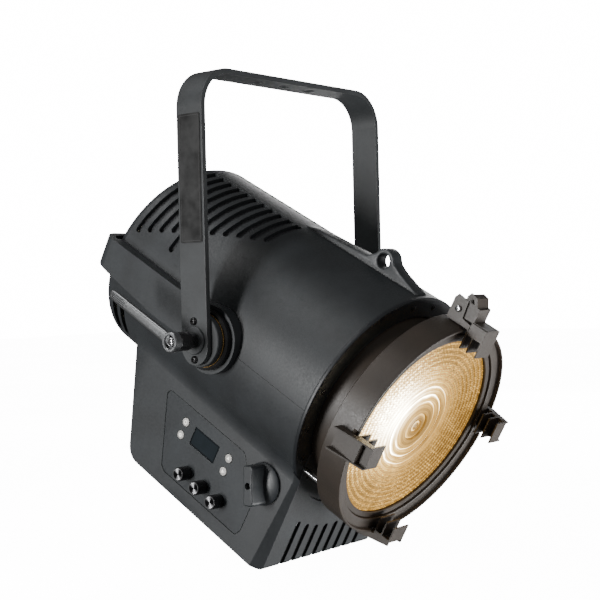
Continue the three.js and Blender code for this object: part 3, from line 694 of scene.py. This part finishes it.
def pivot_ring(node, side, body, slot, edge, space):
    """A washer, disc or plate turned about the tilt axis, with eased edges."""
    size = extent(node, space)
    near, far = sorted((abs(size.left), abs(size.right)))
    outer = size.high
    if outer > SMOOTH_DISC:
        outer = max(outer, size.front) / math.cos(math.pi / 16)
    profile = [(PIVOT_BORE, near), (outer - edge, near), (outer, near + edge * 0.5)]
    profile += [(outer, far - edge), (outer - edge, far), (PIVOT_BORE, far)]
    piece = turned(f"{node}_turned", [(r, side * x) for r, x in profile], "x", space=space)
    dress(piece, body, slot, [node], smooth=40)


def pivot_stack():
    """Plate and washer on the arm, brass washer and disc on the head, on both sides."""
    for side, word in SIDES:
        pivot_ring(f"friction_plate_{word}", side, "yoke", "yoke_paint", 0.8, STAND)
        pivot_ring(f"arm_washer_{word}", side, "yoke", "yoke_paint", 0.7, STAND)
        pivot_ring(f"brass_washer_{word}", side, "head", "brass_ring", 0.2, HEAD)
        pivot_ring(f"pivot_disc_{word}", side, "head", "black_plastic", 1.8, HEAD)


def pivot_ends():
    size = extent("pivot_stud_left")
    stud = rod("pivot_stud", STUD_RADIUS, size.left, size.right, chamfer=0.8)
    dress(stud, "head", "steel_part", ["pivot_stud_left"])
    size = extent("pivot_bolt_right")
    tip, face, under = size.left, size.right, size.right - 9.2
    profile = [(0, tip), (STUD_RADIUS, tip), (STUD_RADIUS, under), (11, under), (11, face - 2.4)]
    profile += [(10.4, face - 1.1), (9, face - 0.3), (7.6, face), (0, face)]
    body = turned("pivot_bolt", profile, "x", sides=64)
    hexagon = extrude("hexagon", circle(0, 0, 5.2, 6), face - 4.5, face + 2, "x")
    dress(cut(body, hexagon), "head", "steel_part", ["pivot_bolt_right"], material=MATERIALS["black_plastic"])


def lock_lever():
    """Black turned hub, a lever with a ribbed grip that ends in an eye, and a screw in the eye."""
    hub = extent("lever_hub", STAND)
    profile = [(PIVOT_BORE, hub.right), (8, hub.right), (8.2, -166.5), (9.6, -169.5), (10.2, -171.5)]
    profile += [(10.2, -175), (9.9, -175.3), (9.9, -176.2), (10.2, -176.5), (10.2, hub.left + 1)]
    profile += [(9.6, hub.left), (PIVOT_BORE, hub.left)]
    turned_hub = turned("lever_hub_turned", profile, "x", space=STAND)
    dress(turned_hub, "lock_lever", "black_plastic", ["lever_hub"])

    size = extent("lock_lever", HEAD)
    outside, inside = size.left, size.right
    eye = moved([(0, 5), (7.4, 5), (7.4, 0.6), (8, 0), (10, 0), (10.9, 0.9)], 0, outside)
    eye += [(10.9, inside), (0, inside)]
    body = turned("lever_arm", eye, "x", sides=72)
    middle = (outside + 2 + inside) / 2
    section = rounded(rectangle(-1, 1, -1, 1), 0.7, 4)
    stations = [(-4, 6.3), (-30, 6.0), (-60, 5.7), (-79, 5.5), (-80, 5.9), (-100, 5.6), (-106, 5.0)]
    rings = []
    for u, half in [*stations, (size.back, 3.4)]:
        thick = 3.7 * half / 6.3
        rings.append([(middle + a * thick, u, b * half) for a, b in section])
    unite(body, loft("arm", rings))
    grooves = [
        block("groove", outside - 2, outside + 3.1, -103, -81, v - 0.35, v + 0.35)
        for v in (-3.2, -1.1, 1.1, 3.2)
    ]
    cut(body, merged("grooves", grooves))
    soften(body, 0.25)
    dress(body, "lock_lever", "steel_part", ["lock_lever"])

    screw = extent("lever_screw", STAND)
    head = cross_head("lever_screw_head", 5.4, 3.4, "x", (0, 0), screw.left + 3.4, STAND, -1)
    dress(head, "lock_lever", "chrome_part", ["lever_screw"])


# Head shells.
DRUM_BACK = extent("upper_shell").back
DRUM_FRONT = extent("upper_shell").front
FRONT_RADIUS = 129.5
BACK_RADIUS = 123.5
WALL = 4
SEAM = -1
SEAM_GAP = 0.15
SPINE_HALF = 9
VENT_COUNT = 11
VENT_PITCH = 14.5
VENT_HALF = 4.25
LONG_VENT = 6
EYE = SimpleNamespace(u=85, v=141, outer=14, hole=8)


def drum_radius(u):
    return BACK_RADIUS + (FRONT_RADIUS - BACK_RADIUS) * (u - DRUM_BACK) / (DRUM_FRONT - DRUM_BACK)


def drum(name, grow, back, front, sides=192):
    profile = [(0, back), (drum_radius(back) + grow, back), (drum_radius(front) + grow, front), (0, front)]
    return turned(name, profile, sides=sides)


def vent_cutter(u, foot, top, side):
    """A curved slot with a rounded foot, cut through the drum's wall between two angles."""
    radius, half = drum_radius(u), VENT_HALF
    rest = radius * (top - foot) * DEG - half
    rings = []
    for along in [0, 0.15, 0.5, 1.2, 2.4, half] + [half + rest * k / 14 for k in range(1, 15)]:
        angle = foot * DEG + along / radius
        width = half * math.sqrt(max(0.01, 1 - max(0.0, 1 - along / half) ** 2))
        cos, sin = side * math.cos(angle), math.sin(angle)
        corners = [(106, -width), (145, -width), (145, width), (106, width)]
        rings.append([(r * cos, u + w, r * sin) for r, w in corners])
    return loft("vent", rings)


def vent_place(k):
    return -30.4 - VENT_PITCH * k


def vent_foot(k):
    return 22 if k == LONG_VENT else 54 + 0.25 * (vent_place(k) + 40)


def spine():
    ridge = [(-32, 118), (-32, 126.4), (-10, 130.6), (40, 134.3), (62, 136.6), (EYE.u - 13.5, EYE.v + 3.5)]
    ridge += arc(EYE.u, EYE.v, EYE.outer, 140, 40, 14)
    ridge += [(EYE.u + 15, EYE.v + 3.5), (112, 139.2), (DRUM_FRONT - 3, 130.5), (DRUM_FRONT - 3, 118)]
    body = extrude("spine", ridge, -SPINE_HALF, SPINE_HALF, "x")
    cut(body, extrude("eye", circle(EYE.u, EYE.v, EYE.hole), -20, 20, "x"))
    return soften(body, 2.2, 24, 3)


def upper_shell():
    body = drum("upper_shell_cast", 0, DRUM_BACK, DRUM_FRONT)
    unite(body, spine())
    vents = [
        vent_cutter(vent_place(k), vent_foot(k), 81, side)
        for k in range(VENT_COUNT)
        for side in (-1, 1)
    ]
    below = block("below", -200, 200, -250, 250, -300, SEAM + SEAM_GAP)
    cut(body, drum("hollow", -WALL, DRUM_BACK - 5, DRUM_FRONT + 5))
    cut(body, merged("vents", vents))
    cut(body, below)
    dress(body, "head", "body_paint", ["upper_shell"], smooth=28, cone=drum_radius)


BASE_FRONT = extent("lower_shell").front
BASE_LOW = extent("lower_shell").low
BASE_FLARE = math.tan(math.acos(min(1.0, JOINTS["zoom_knob_turn"]["axis"][0])))
BASE_HIGH = -10
BACK_LEAN = 1.09  # how much further a wall's thickness reaches along the leaning back
CHAMFER_SLOPE = 1.47
FILLET = 34
SLOT_COUNT = 8
SLOT_PITCH = 18.6
SLOT_HALF = 3.6
SLOT_TOP_RADIUS = 160.7  # the slots' tops follow the lens ring's circle


def base_half(v):
    return 100.4 - BASE_FLARE * (v + 100)


def base_back(v):
    return -130.4 + 0.433 * (-84.8 - v)


def fillet_points(radius, inset):
    """Soft valley from the drum's side into the base's wall, as (x, v) down the right-hand side."""
    side = base_half(-95) - inset
    bend = FILLET
    reach = radius - inset + bend
    centre_x = side + bend
    centre_v = -math.sqrt(max(1.0, reach**2 - centre_x**2))
    start = math.degrees(math.atan2(-centre_v, -centre_x))
    return arc(centre_x, centre_v, bend, start, 180, 10)


def base_block(name, inset, bottom):
    """The boxed base with its soft valleys, as one solid that reaches up into the drum."""
    rings = []
    for u in (-160, -100, -40, 20, 80, 160):
        right = [(0, -20), (70, -20)] + fillet_points(drum_radius(u), inset)
        right += [(base_half(bottom) - inset, bottom)]
        left = [(-x, v) for x, v in reversed(right[1:])]
        rings.append([(x, u, v) for x, v in right + left])
    body = loft(name, rings)
    front = BASE_FRONT - inset
    high_back = base_back(BASE_HIGH) + inset * BACK_LEAN
    low_back = base_back(max(bottom, BASE_LOW)) + inset * BACK_LEAN
    if bottom < BASE_LOW:
        side = [(high_back, BASE_HIGH), (low_back + 12, bottom), (front, bottom), (front, BASE_HIGH)]
    else:
        side = [(high_back, BASE_HIGH), (low_back, bottom), (front, bottom), (front, BASE_HIGH)]
        side = rounded(side, [1, 24, 6, 1], 8)
    keep_within(body, extrude("side", side, -150, 150, "x"))
    chamfer = 96 - inset * 0.8
    shoulder = front - CHAMFER_SLOPE * (125 - chamfer)
    plan = [(-125, -200), (125, -200), (125, shoulder), (chamfer, front), (-chamfer, front), (-125, shoulder)]
    keep_within(body, extrude("plan", plan, -260, 0, "v"))
    return body


def front_slots():
    slots = []
    for k in range(SLOT_COUNT):
        x = (k - (SLOT_COUNT - 1) / 2) * SLOT_PITCH
        top = -math.sqrt(SLOT_TOP_RADIUS**2 - x**2)
        outline = [(x - SLOT_HALF, BASE_LOW - 5), (x + SLOT_HALF, BASE_LOW - 5)]
        outline += arc(x, top - SLOT_HALF, SLOT_HALF, 0, 180, 10)
        slots.append(extrude("slot", outline, BASE_FRONT - 12, BASE_FRONT + 5, "u"))
    return merged("slots", slots)


PANEL_SHAPE = [
    (0.023, 1.0), (0.0, 0.933), (0.192, 0.05), (0.233, 0.0), (0.974, 0.0),
    (1.0, 0.095), (1.0, 0.43), (0.828, 0.905), (0.781, 0.989),
]


def panel_outline(grow):
    size = extent("control_panel", PANEL)
    wide, tall = size.front - size.back, size.high - size.low
    points = []
    for a, b in PANEL_SHAPE:
        u = size.back - grow + a * (wide + 2 * grow)
        v = size.low - grow + b * (tall + 2 * grow)
        points.append((u, v))
    return rounded(points, 5, 4)


def lower_shell():
    body = drum("lower_shell_cast", 0, DRUM_BACK, DRUM_FRONT)
    base = soften(base_block("base", 0, BASE_LOW), 1.1, 22, 3)
    unite(body, base)
    flange = extent("front_flange")
    cut(body, rod("seat", flange.right + 0.7, DRUM_FRONT, BASE_FRONT + 5, "u", sides=160))
    cut(body, drum("hollow", -WALL, DRUM_BACK - 5, DRUM_FRONT + 5))
    cut(body, base_block("inside", 3.5, BASE_LOW - 10))
    cut(body, extrude("pocket", panel_outline(0.45), -3, 1.7, "x", PANEL))
    cut(body, extrude("window", panel_outline(-8), -5, 10, "x", PANEL))
    cut(body, rod("shaft_hole", 4.4, -5, 10, space=PANEL))
    cut(body, front_slots())
    low_vents = [vent_cutter(vent_place(k), -46, -24, side) for k in (9, 10) for side in (-1, 1)]
    cut(body, merged("low_vents", low_vents))
    cut(body, block("over", -200, 200, -250, 250, SEAM - SEAM_GAP, 200))
    dress(body, "head", "body_paint", ["lower_shell"], smooth=28, cone=drum_radius)


SOCKETS = ("power_inlet", "signal_in", "signal_out")
REAR_PLATE = -166
GRILLE = SimpleNamespace(radius=50, v=9, pitch=6, half=1.7)


def rear_cap():
    size = extent("rear_cap")
    face, rim, plate = size.front, size.back, REAR_PLATE
    roll = [(97.4, 3), (98.2, 1), (100, 0), (109, 0), (113.5, 0.9), (118, 3), (121.4, 6.6), (123, 10)]
    profile = [(0, plate), (94, plate), (96, plate - 1), (96.8, plate - 4), *moved(roll, 0, rim)]
    profile += [(123.3, -187.1), (118.9, -187.1), (118.9, face - 18), (116.5, face - 18)]
    profile += [(116.5, -189), (104, -193), (100.5, -190), (99.5, plate + 4), (0, plate + 4)]
    body = turned("rear_cap_cast", profile, sides=160)
    grille = []
    for row in range(-4, 5):
        offset = row * GRILLE.pitch
        half = math.sqrt(GRILLE.radius**2 - offset**2)
        v = offset + GRILLE.v
        outline = rounded(rectangle(-half, half, v - GRILLE.half, v + GRILLE.half), 1.6)
        grille.append(extrude("louvre", outline, plate - 5, plate + 10, "u"))
    cut(body, merged("grille", grille))
    inlet, last = extent(SOCKETS[0]), extent(SOCKETS[-1])
    middle = inlet.centre[1]
    window = rounded(rectangle(inlet.left + 4, last.right - 4, middle - 11.8, middle + 11.8), 2)
    cut(body, extrude("window", window, plate - 5, plate + 10, "u"))
    dress(body, "head", "body_paint", ["rear_cap"], smooth=30)


def socket_middle(node, size):
    """Across position of a connector's barrel, whose plate may reach further to one side."""
    barrel = [x for x, u, v in measures(node) if u > size.front - 1]
    return (min(barrel) + max(barrel)) / 2


def sockets():
    for node in SOCKETS:
        size = extent(node)
        x, v = socket_middle(node, size), size.centre[1]
        face = size.back
        outline = rounded(rectangle(size.left, size.right, size.low, size.high), 1)
        plate = soften(extrude(f"{node}_socket", outline, face, face + 2, "u"), 0.5)
        barrel = moved([(0, 10), (8, 10), (8, -0.6), (9, -1.2), (10.4, -1.2), (11, -0.4)], 0, face)
        barrel += [(11, size.front), (0, size.front)]
        collar = turned("collar", barrel, centre=(x, v), sides=48)
        cut(plate, rod("bore", 10.9, face - 5, face + 5, "u", (x, v)))
        socket = merged(f"{node}_socket", [plate, collar])
        dress(socket, "head", "black_plastic", [node])
        for corner, letter in ((-1, "a"), (1, "b")):
            at = (x + corner * 10, v + corner * 12)
            screw = cross_head(f"{node}_screw_{letter}", 1.9, 0.9, "u", at, face, HEAD, -1)
            dress(screw, "head", "chrome_part")
        pins = [rod("pin", 0.9, face + 3, face + 11, "u", at, sides=12) for at in arc(x, v, 4, 90, 330, 2)]
        dress(merged(f"{node}_pins", pins), "head", "brass_ring")


ROD_X, ROD_V = 92.8, -75.6
SCREW_CIRCLE = 119.7
FLANGE_SCREWS = (80.8, 99.2, 11, -11, -31, -48, 169, 191, 211, 228, 260, 280)


def front_flange():
    size = extent("front_flange")
    outer, inner = 130, 106.6
    back, front = size.back, 150.4
    profile = [(inner, back), (outer - 0.3, back), (outer, back + 0.6)]
    profile += moved([(0, -1.4), (-0.5, -0.4), (-1.6, 0)], outer, front)
    profile += [(inner + 0.8, front), (inner, front - 0.8)]
    body = turned("front_flange_ring", profile, sides=192)
    cut(body, *[rod("hole", 3.4, back - 3, front + 3, "u", (side * ROD_X, ROD_V)) for side in (-1, 1)])
    dress(body, "head", "dark_paint", ["front_flange"])
    for k, angle in enumerate(FLANGE_SCREWS):
        centre = (-SCREW_CIRCLE * math.cos(angle * DEG), SCREW_CIRCLE * math.sin(angle * DEG))
        screw = cross_head(f"flange_screw_{k + 1}", 3.1, 1.0, "u", centre, front, HEAD, 1)
        dress(screw, "head", "dark_paint", material=MATERIALS["black_plastic"])


def handle():
    size = extent("handle")
    outer, back = size.right, size.back
    turn, bar, boss = 20, 8, 38
    across, along = outer - turn, back + turn
    rear = arc(-across, along, turn, 180, 270, 12) + arc(across, along, turn, 270, 360, 12)
    inner = arc(across, along, turn - bar, 0, -90, 8)
    inner = [(x, u) for x, u in inner] + [(-x, u) for x, u in reversed(inner)]
    plan = [(-outer, 60), *rear, (outer, 60), (100, 60), (100, -186), (outer - 9, -190), *inner[1:-1]]
    plan += [(9 - outer, -190), (-100, -186), (-100, 60)]
    band = arc(0, 0, boss, -90, 90, 36)
    band += [(-10, 36.2), (-24, 33), (-40, 29.6), (-56, 27.4), (-75, 26.6), (-195, 26), (back - 5, 24)]
    band += [(back - 5, -9), (-180, -13), (-92, -20), (-50, -19), (-34, -22), (-22, -28.5), (-12, -35)]
    body = extrude("handle_cast", plan, -60, 60, "v")
    keep_within(body, extrude("band", band, -160, 160, "x"))
    cut(body, drum("drum", 0.3, DRUM_BACK - 14, DRUM_FRONT, 160))
    soften(body, 2.0, 40, 3)
    dress(body, "head", "body_paint", ["handle"], smooth=32)


# Control face.
def control_panel():
    size = extent("control_panel", PANEL)
    body = extrude("control_panel_film", panel_outline(-0.25), size.left, size.right, "x", PANEL)
    display = extent("display_window", PANEL)
    cut(body, extrude("window", face_outline(display, 0.4, 1.2), -5, 5, "x", PANEL))
    holes = []
    for node in BUTTONS:
        hole = extent(node, PANEL)
        holes.append(rod("hole", 5.5, -5, 5, "x", hole.centre, PANEL))
    cut(body, merged("holes", holes))
    soften(body, 0.3, 40)
    dress(body, "head", "panel_plastic", ["control_panel"])
    lit, face = face_outline(display, -1.6, 0.8), display.left
    screen = extrude("display_screen", lit, face - 0.15, face + 0.3, "x", PANEL)
    dress(screen, "head", "display_glass", material=window_glass("display_screen", (0.008, 0.012, 0.015)))


BUTTONS = ("button_back_upper", "button_back_lower", "button_front_upper", "button_front_lower")


def button_symbol(name, centre, face):
    """A generic mark on a button: a ring, a dot, or a triangle."""
    a, b = centre
    if name.startswith("button_front"):
        turn = 90 if name.endswith("upper") else 0
        outline = rounded(arc(a, b, 2.5, turn, turn + 240, 2), 0.4)
        return extrude(f"{name}_mark", outline, face - 0.12, face + 0.2, "x", PANEL)
    outer, inner = (2.4, 1.6) if name.endswith("upper") else (2.2, 0.9)
    profile = rectangle(inner, outer, face - 0.12, face + 0.2)
    return turned(f"{name}_mark", profile, "x", centre, PANEL, 40)


def buttons():
    mark = shader("button_mark_painted_glow", (0.9, 0.88, 0.82), 0.4)
    # The marks glow faintly: painted light that makes the printed marks read brighter.
    glow(mark, (1.0, 0.95, 0.86), remap(mark, noise(mark, 900, 2), 0.5, 0.8))
    for node in BUTTONS:
        size = extent(node, PANEL)
        centre, face, radius = size.centre, size.left, 5.1
        profile = moved([(0, 0), (3.2, 0.02), (4.2, 0.12), (4.8, 0.4), (radius, 1)], 0, face)
        profile += [(radius, size.right), (0, size.right)]
        cap = turned(f"{node}_cap", profile, "x", centre, PANEL, 56)
        dress(cap, node, "button_pale", [node])
        dress(button_symbol(node, centre, face), node, "button_pale", material=mark.material)


def encoder(k, spun):
    node = f"encoder_knob_{k}"
    size = extent(node, PANEL)
    centre, face, radius = size.centre, size.left, 8
    u, v = centre
    profile = moved([(0, 0.5), (6.5, 0.5), (6.9, 0), (7.4, 0), (radius, 0.9)], 0, face)
    profile += [(radius, -2.2), (7.4, -1.4), (7.4, -0.5), (3, -0.5), (3, size.right), (0, size.right)]
    body = turned(f"{node}_barrel", profile, "x", centre, PANEL, 72)
    cut(body, block("mark", face - 1, face + 1, u - 0.55, u + 0.55, v + 3.5, v + 9, PANEL))
    dress(body, node, "black_plastic", [node])
    rim = moved([(6.55, -0.02), (7.35, -0.02), (7.5, 0.25), (6.5, 0.45)], 0, face)
    dress(turned(f"{node}_rim", rim, "x", centre, PANEL, 72), node, "chrome_part")
    middle = PANEL @ Matrix.Translation((0, -u * MM, v * MM))
    disc = rod(f"{node}_face", 6.45, face + 0.3, face + 0.6, space=middle, sides=72)
    dress(disc, node, "steel_part", material=spun, own_space=True)


def spun_face():
    """Lathe-turned disc: a painted reflection, lighter and darker sectors in the base colour, fans out from
    the middle.
    """
    made = shader("spun_face", (0.3, 0.3, 0.31), 0.3, 1.0)
    feed(made, "Anisotropic", 0.85)
    tangent = add_node(made, "Tangent", {})
    tangent.direction_type = "RADIAL"
    tangent.axis = "X"
    feed(made, "Tangent", tangent.outputs["Tangent"])
    split = add_node(made, "SeparateXYZ", {"Vector": made.place}).outputs
    turn = math_node(made, "ARCTAN2", split["Z"], split["Y"])
    painted_reflection_fan = math_node(made, "SINE", times(made, turn, 2.0))
    light = remap(made, painted_reflection_fan, 0, 1, -0.4, 1)
    # The base colour carries a painted reflection: sectors turn lighter and darker round the middle.
    feed(made, "Base Color", blend_colour(made, light, (0.03, 0.03, 0.032), (0.36, 0.36, 0.37)))
    return made.material


def encoders():
    spun = spun_face()
    for k in (1, 2, 3):
        encoder(k, spun)


PINION_RADIUS = 9.6


def zoom_knob():
    size = extent("zoom_knob", PANEL)
    face = size.left
    disc = 23.5
    profile = [(0, -8.2), (6, -8.1), (13, -7.2), (18.5, -5.6), (21.2, -4.3), (22.6, -3.6), (23.4, -3.0)]
    profile += [(disc, -2.4), (disc, -0.5), (0, -0.5)]
    body = turned("zoom_knob_cap", profile, "x", space=PANEL, sides=120)
    upright = PANEL @ Matrix.Rotation(-TILT, 4, "X")
    corners = [(-7, -22), (7, -22), (6.2, 0), (7, 22), (-7, 22), (-6.2, 0)]
    waist = rounded(corners, [4.5, 4.5, 30, 4.5, 4.5, 30], 6)
    grip = soften(extrude("grip", waist, face, -3, "x", upright), 1.8, 40, 3)
    unite(body, grip)
    cut(body, rod("recess", 3.8, face - 3, face + 7, space=PANEL))
    dress(body, "zoom_knob", "black_plastic", ["zoom_knob"], smooth=38, material=MATERIALS["panel_plastic"])
    screw = cross_head("zoom_knob_screw", 3.2, 1.6, "x", (0, 0), face + 6.8, PANEL, -1)
    dress(screw, "zoom_knob", "steel_part")
    # A thin near-black ring on the panel round the knob's disc: painted shade for the gap between knob and
    # panel.
    ring = rectangle(disc + 0.1, disc + 1.1, -0.4, 0.1)
    dress(turned("zoom_knob_gap_shade", ring, "x", space=PANEL, sides=96), "head", "dark_paint")
    size = extent("zoom_shaft", PANEL)
    near, pinion, far = size.left, size.right - 10, size.right
    profile = [(0, near), (4, near), (4, pinion), (PINION_RADIUS, pinion), (PINION_RADIUS, far), (0, far)]
    shaft = turned("zoom_shaft_turned", profile, "x", space=PANEL, sides=48)
    dress(shaft, "zoom_knob", "steel_part", ["zoom_shaft"])


# Lens carriage.
def guide_rods():
    for side, word in SIDES:
        node = f"guide_rod_{word}"
        size = extent(node)
        centre = ((size.left + size.right) / 2, (size.low + size.high) / 2)
        bar = rod(f"{node}_bar", 3, size.back, size.front, "u", centre, chamfer=0.5)
        dress(bar, "lens_carriage", "chrome_part", [node])


def lens_tube():
    size = extent("lens_tube")
    outer = 105.5
    body = turned("lens_tube_turned", rectangle(outer - 3, outer, size.back, size.front), sides=160)
    dress(body, "lens_carriage", "dark_paint", ["lens_tube"], material=MATERIALS["bronze_paint"])


def lens_ring():
    size = extent("lens_ring")
    outer, back, front = 129, size.back, size.front
    lip = [(0, -0.9), (-0.4, -0.2), (-0.9, 0), (-2.1, 0), (-2.7, -0.6), (-2.7, -4.6), (-3.2, -5.4)]
    seat = [(117, -5.4), (115.8, -5.8), (115.5, -6.6), (115.5, -8), (125.8, -8)]
    profile = [(106.2, back), (128.4, back + 12.6), (outer, back + 13.3), *moved(lip, outer, front)]
    profile += [*moved(seat, 0, front), (125.8, back + 14.3), (106.2, back + 3.3)]
    body = turned("lens_ring_cast", profile, sides=192)
    notches = []
    for angle in (0, 90, 180, 270):
        notch = block("notch", -17.5, 17.5, front - 6.6, front + 4, 118.5, outer + 6)
        notch.matrix_world = HEAD @ Matrix.Rotation(angle * DEG, 4, "Y")
        notches.append(notch)
    cut(body, *notches)
    dress(body, "lens_carriage", "bronze_paint", ["lens_ring"], smooth=20)


def lens_retainer():
    size = extent("lens_retainer")
    front = size.front
    profile = [(110.5, size.back), (115.1, size.back), (115.1, front - 0.4), (114.7, front), (109.2, front)]
    profile += [(108.6, front - 0.5), (108.6, front - 1.5), (110.5, front - 1.7)]
    ring = turned("lens_retainer_ring", profile, sides=160)
    dress(ring, "lens_carriage", "bronze_paint", ["lens_retainer"])


def fresnel_lens():
    """Stepped glass: each ring rises towards the rim and drops straight down to the next."""
    size = extent("fresnel_lens")
    rear, crown = size.back, size.front
    profile = [(0, crown)]
    inner = 0
    for ring in lens_rings(RIM):
        rise = 2.1 if ring > LENS_RINGS[-1] else 2.9
        for step in range(1, 5):
            share = step / 4
            profile.append((inner + (ring - inner) * share, crown - rise * share**1.8))
        profile.append((ring + 0.25, crown - 0.1))
        inner = ring + 0.25
    profile += [(RIM, crown - 1.6), (RIM, rear), (0, rear)]
    glass = turned("fresnel_glass", profile, sides=192)
    dress(glass, "lens_carriage", "lens_glass", ["fresnel_lens"], smooth=25, own_space=True)


def latch_spring():
    """Torsion spring wound round the latch pin."""
    size = extent("latch_spring")
    u, v = size.centre
    turns, wire, radius, per_turn = 7, 0.55, 3.5, 20
    rings = []
    steps = turns * per_turn
    for k in range(steps + 1):
        angle = 2 * math.pi * k / per_turn
        x = size.left + 0.6 + (size.right - size.left - 1.2) * k / steps
        cos, sin = math.cos(angle), math.sin(angle)
        rings.append([(across, u + r * cos, v + r * sin) for r, across in circle(radius, x, wire, 8)])
    dress(loft("latch_spring_coil", rings), "lens_carriage", "steel_part", ["latch_spring"])


def latch_pin():
    size = extent("latch_pin")
    centre, head = size.centre, size.left
    profile = moved([(0, 0), (2.6, 0), (3.4, 0.5), (3.6, 1.2), (3.6, 2.3), (2, 2.3)], 0, head)
    profile += [(2, size.right - 0.4), (1.6, size.right), (0, size.right)]
    body = turned("latch_pin_turned", profile, "x", centre, HEAD, 48)
    u, v = centre
    slot = block("slot", head - 1, head + 0.9, u - 2.4, u + 2.4, v - 0.4, v + 0.4)
    dress(cut(body, slot), "lens_carriage", "chrome_part", ["latch_pin"])


# CAD pieces kept as they are.
def keep_cad(node, slot, round_off, material):
    """Shows a CAD node itself, with its edges rounded and its own material."""
    obj = frame["nodes"][node]
    obj.data.materials.clear()
    obj.data.materials.append(material or MATERIALS[slot])
    bevel(obj, round_off, 40).harden_normals = True


KEPT = (
    ("bronze_paint", 0.35, ("clip_left", "clip_right", "clip_bottom", "clip_top")),
    ("dark_paint", 0.3, ("latch_flap",)),
    ("display_glass", 0.3, ("display_window",)),
    ("dark_paint", 0.8, ("base_plate",)),
    ("board_green", 0.3, ("control_board",)),
    ("led_phosphor", 0.4, ("led_module",)),
    ("cast_aluminium", 0.4, ("heatsink",)),
    ("cast_aluminium", 0.8, ("power_supply",)),
    ("black_plastic", 0.8, ("fan_frame",)),
    ("black_plastic", 0.5, ("fan_rotor",)),
    ("steel_part", 0.3, ("zoom_rack",)),
    ("dark_paint", 0.1, ("vent_screen",)),
)
OWN_MATERIAL = {"vent_screen": SCREEN, "latch_flap": MATERIALS["bronze_paint"]}

SEEN_AND_HIDDEN = (
    yoke, rating_label, arm_screws, pivot_stack, pivot_ends, lock_lever, upper_shell, lower_shell, rear_cap,
    sockets, front_flange, handle, control_panel, buttons, encoders, zoom_knob, guide_rods, lens_tube,
    lens_ring, lens_retainer, fresnel_lens, latch_spring, latch_pin,
)
for build in SEEN_AND_HIDDEN:
    build()
for slot, round_off, nodes in KEPT:
    for node in nodes:
        keep_cad(node, slot, round_off, OWN_MATERIAL.get(node))


# Stage, lights, camera.
BACKDROP = 16.0
AMBIENT = 0.16
FLOOR_GLOW = 14.0


def floor():
    """Pale floor just under the lowest point."""
    low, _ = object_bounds()
    mesh = bpy.data.meshes.new("floor")
    side = 6.0
    height = low.z - 0.001
    corners = [(-side, -side, height), (side, -side, height), (side, side, height), (-side, side, height)]
    mesh.from_pydata(corners, [], [(0, 1, 2, 3)])
    obj = add_object("floor", mesh)
    made = shader("floor", (0.82, 0.82, 0.81), 0.75)
    feed(made, "Base Color", blend_colour(made, noise(made, 3, 3), (0.8, 0.8, 0.79), (0.85, 0.85, 0.84)))
    glow(made, (1, 1, 1), remap(made, noise(made, 2, 2), FLOOR_GLOW, FLOOR_GLOW * 1.05))
    mesh.materials.append(made.material)
    obj.visible_diffuse = False
    obj.visible_glossy = False
    obj.visible_shadow = False
    obj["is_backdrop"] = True


def area_light(name, place, target, size, power):
    data = bpy.data.lights.new(name, "AREA")
    data.shape = "RECTANGLE"
    data.size, data.size_y = size
    data.energy = power
    obj = add_object(name, data)
    obj.location = place
    obj.rotation_mode = "QUATERNION"
    obj.rotation_quaternion = (Vector(target) - Vector(place)).to_track_quat("-Z", "Y")


def lighting():
    """Near-white backdrop for the camera, a little even light, and five soft boxes."""
    world = bpy.data.worlds.new("studio")
    world.use_nodes = True
    tree = world.node_tree
    background = tree.nodes["Background"]
    background.inputs["Color"].default_value = (1, 1, 1, 1)
    seen = tree.nodes.new("ShaderNodeLightPath").outputs["Is Camera Ray"]
    level = tree.nodes.new("ShaderNodeMapRange")
    level.inputs["To Min"].default_value = AMBIENT
    level.inputs["To Max"].default_value = BACKDROP
    tree.links.new(seen, level.inputs["Value"])
    tree.links.new(level.outputs["Result"], background.inputs["Strength"])
    bpy.context.scene.world = world
    middle = (cad_low + cad_high) / 2
    area_light("side", (-2.0, 0.5, -0.25), middle, (0.3, 1.1), 47)
    area_light("fill", (-0.6, -2.2, 0.5), middle, (1.2, 1.2), 10)
    area_light("far", (1.8, 0.9, 0.3), middle, (1.0, 1.2), 18)
    area_light("low", (0.5, -1.2, -1.1), (0, -0.05, -0.35), (1.0, 0.8), 40)
    area_light("top", (-0.9, 0.5, 1.3), middle, (0.8, 0.8), 10)


CAMERA_PLACE = (-1.1107, -0.9440, -0.2389)
CAMERA_TURN = (50.133, 0.657, -1.401)  # degrees round from +Y, down, and rolled
CAMERA_LENS = 74.56


def camera():
    data = bpy.data.cameras.new("camera")
    data.lens = CAMERA_LENS
    data.sensor_width = 36
    obj = add_object("camera", data)
    azimuth, pitch, roll = [angle * DEG for angle in CAMERA_TURN]
    sin, cos, level_share = math.sin(azimuth), math.cos(azimuth), math.cos(pitch)
    ahead = Vector((sin * level_share, cos * level_share, -math.sin(pitch)))
    right = Vector((cos, -sin, 0))
    up = right.cross(ahead)
    level = right * math.cos(roll) + up * math.sin(roll)
    raised = up * math.cos(roll) - right * math.sin(roll)
    turn = Matrix((level, raised, -ahead)).transposed()
    obj.matrix_world = Matrix.Translation(CAMERA_PLACE) @ turn.to_4x4()
    bpy.context.scene.camera = obj


floor()
lighting()
camera()
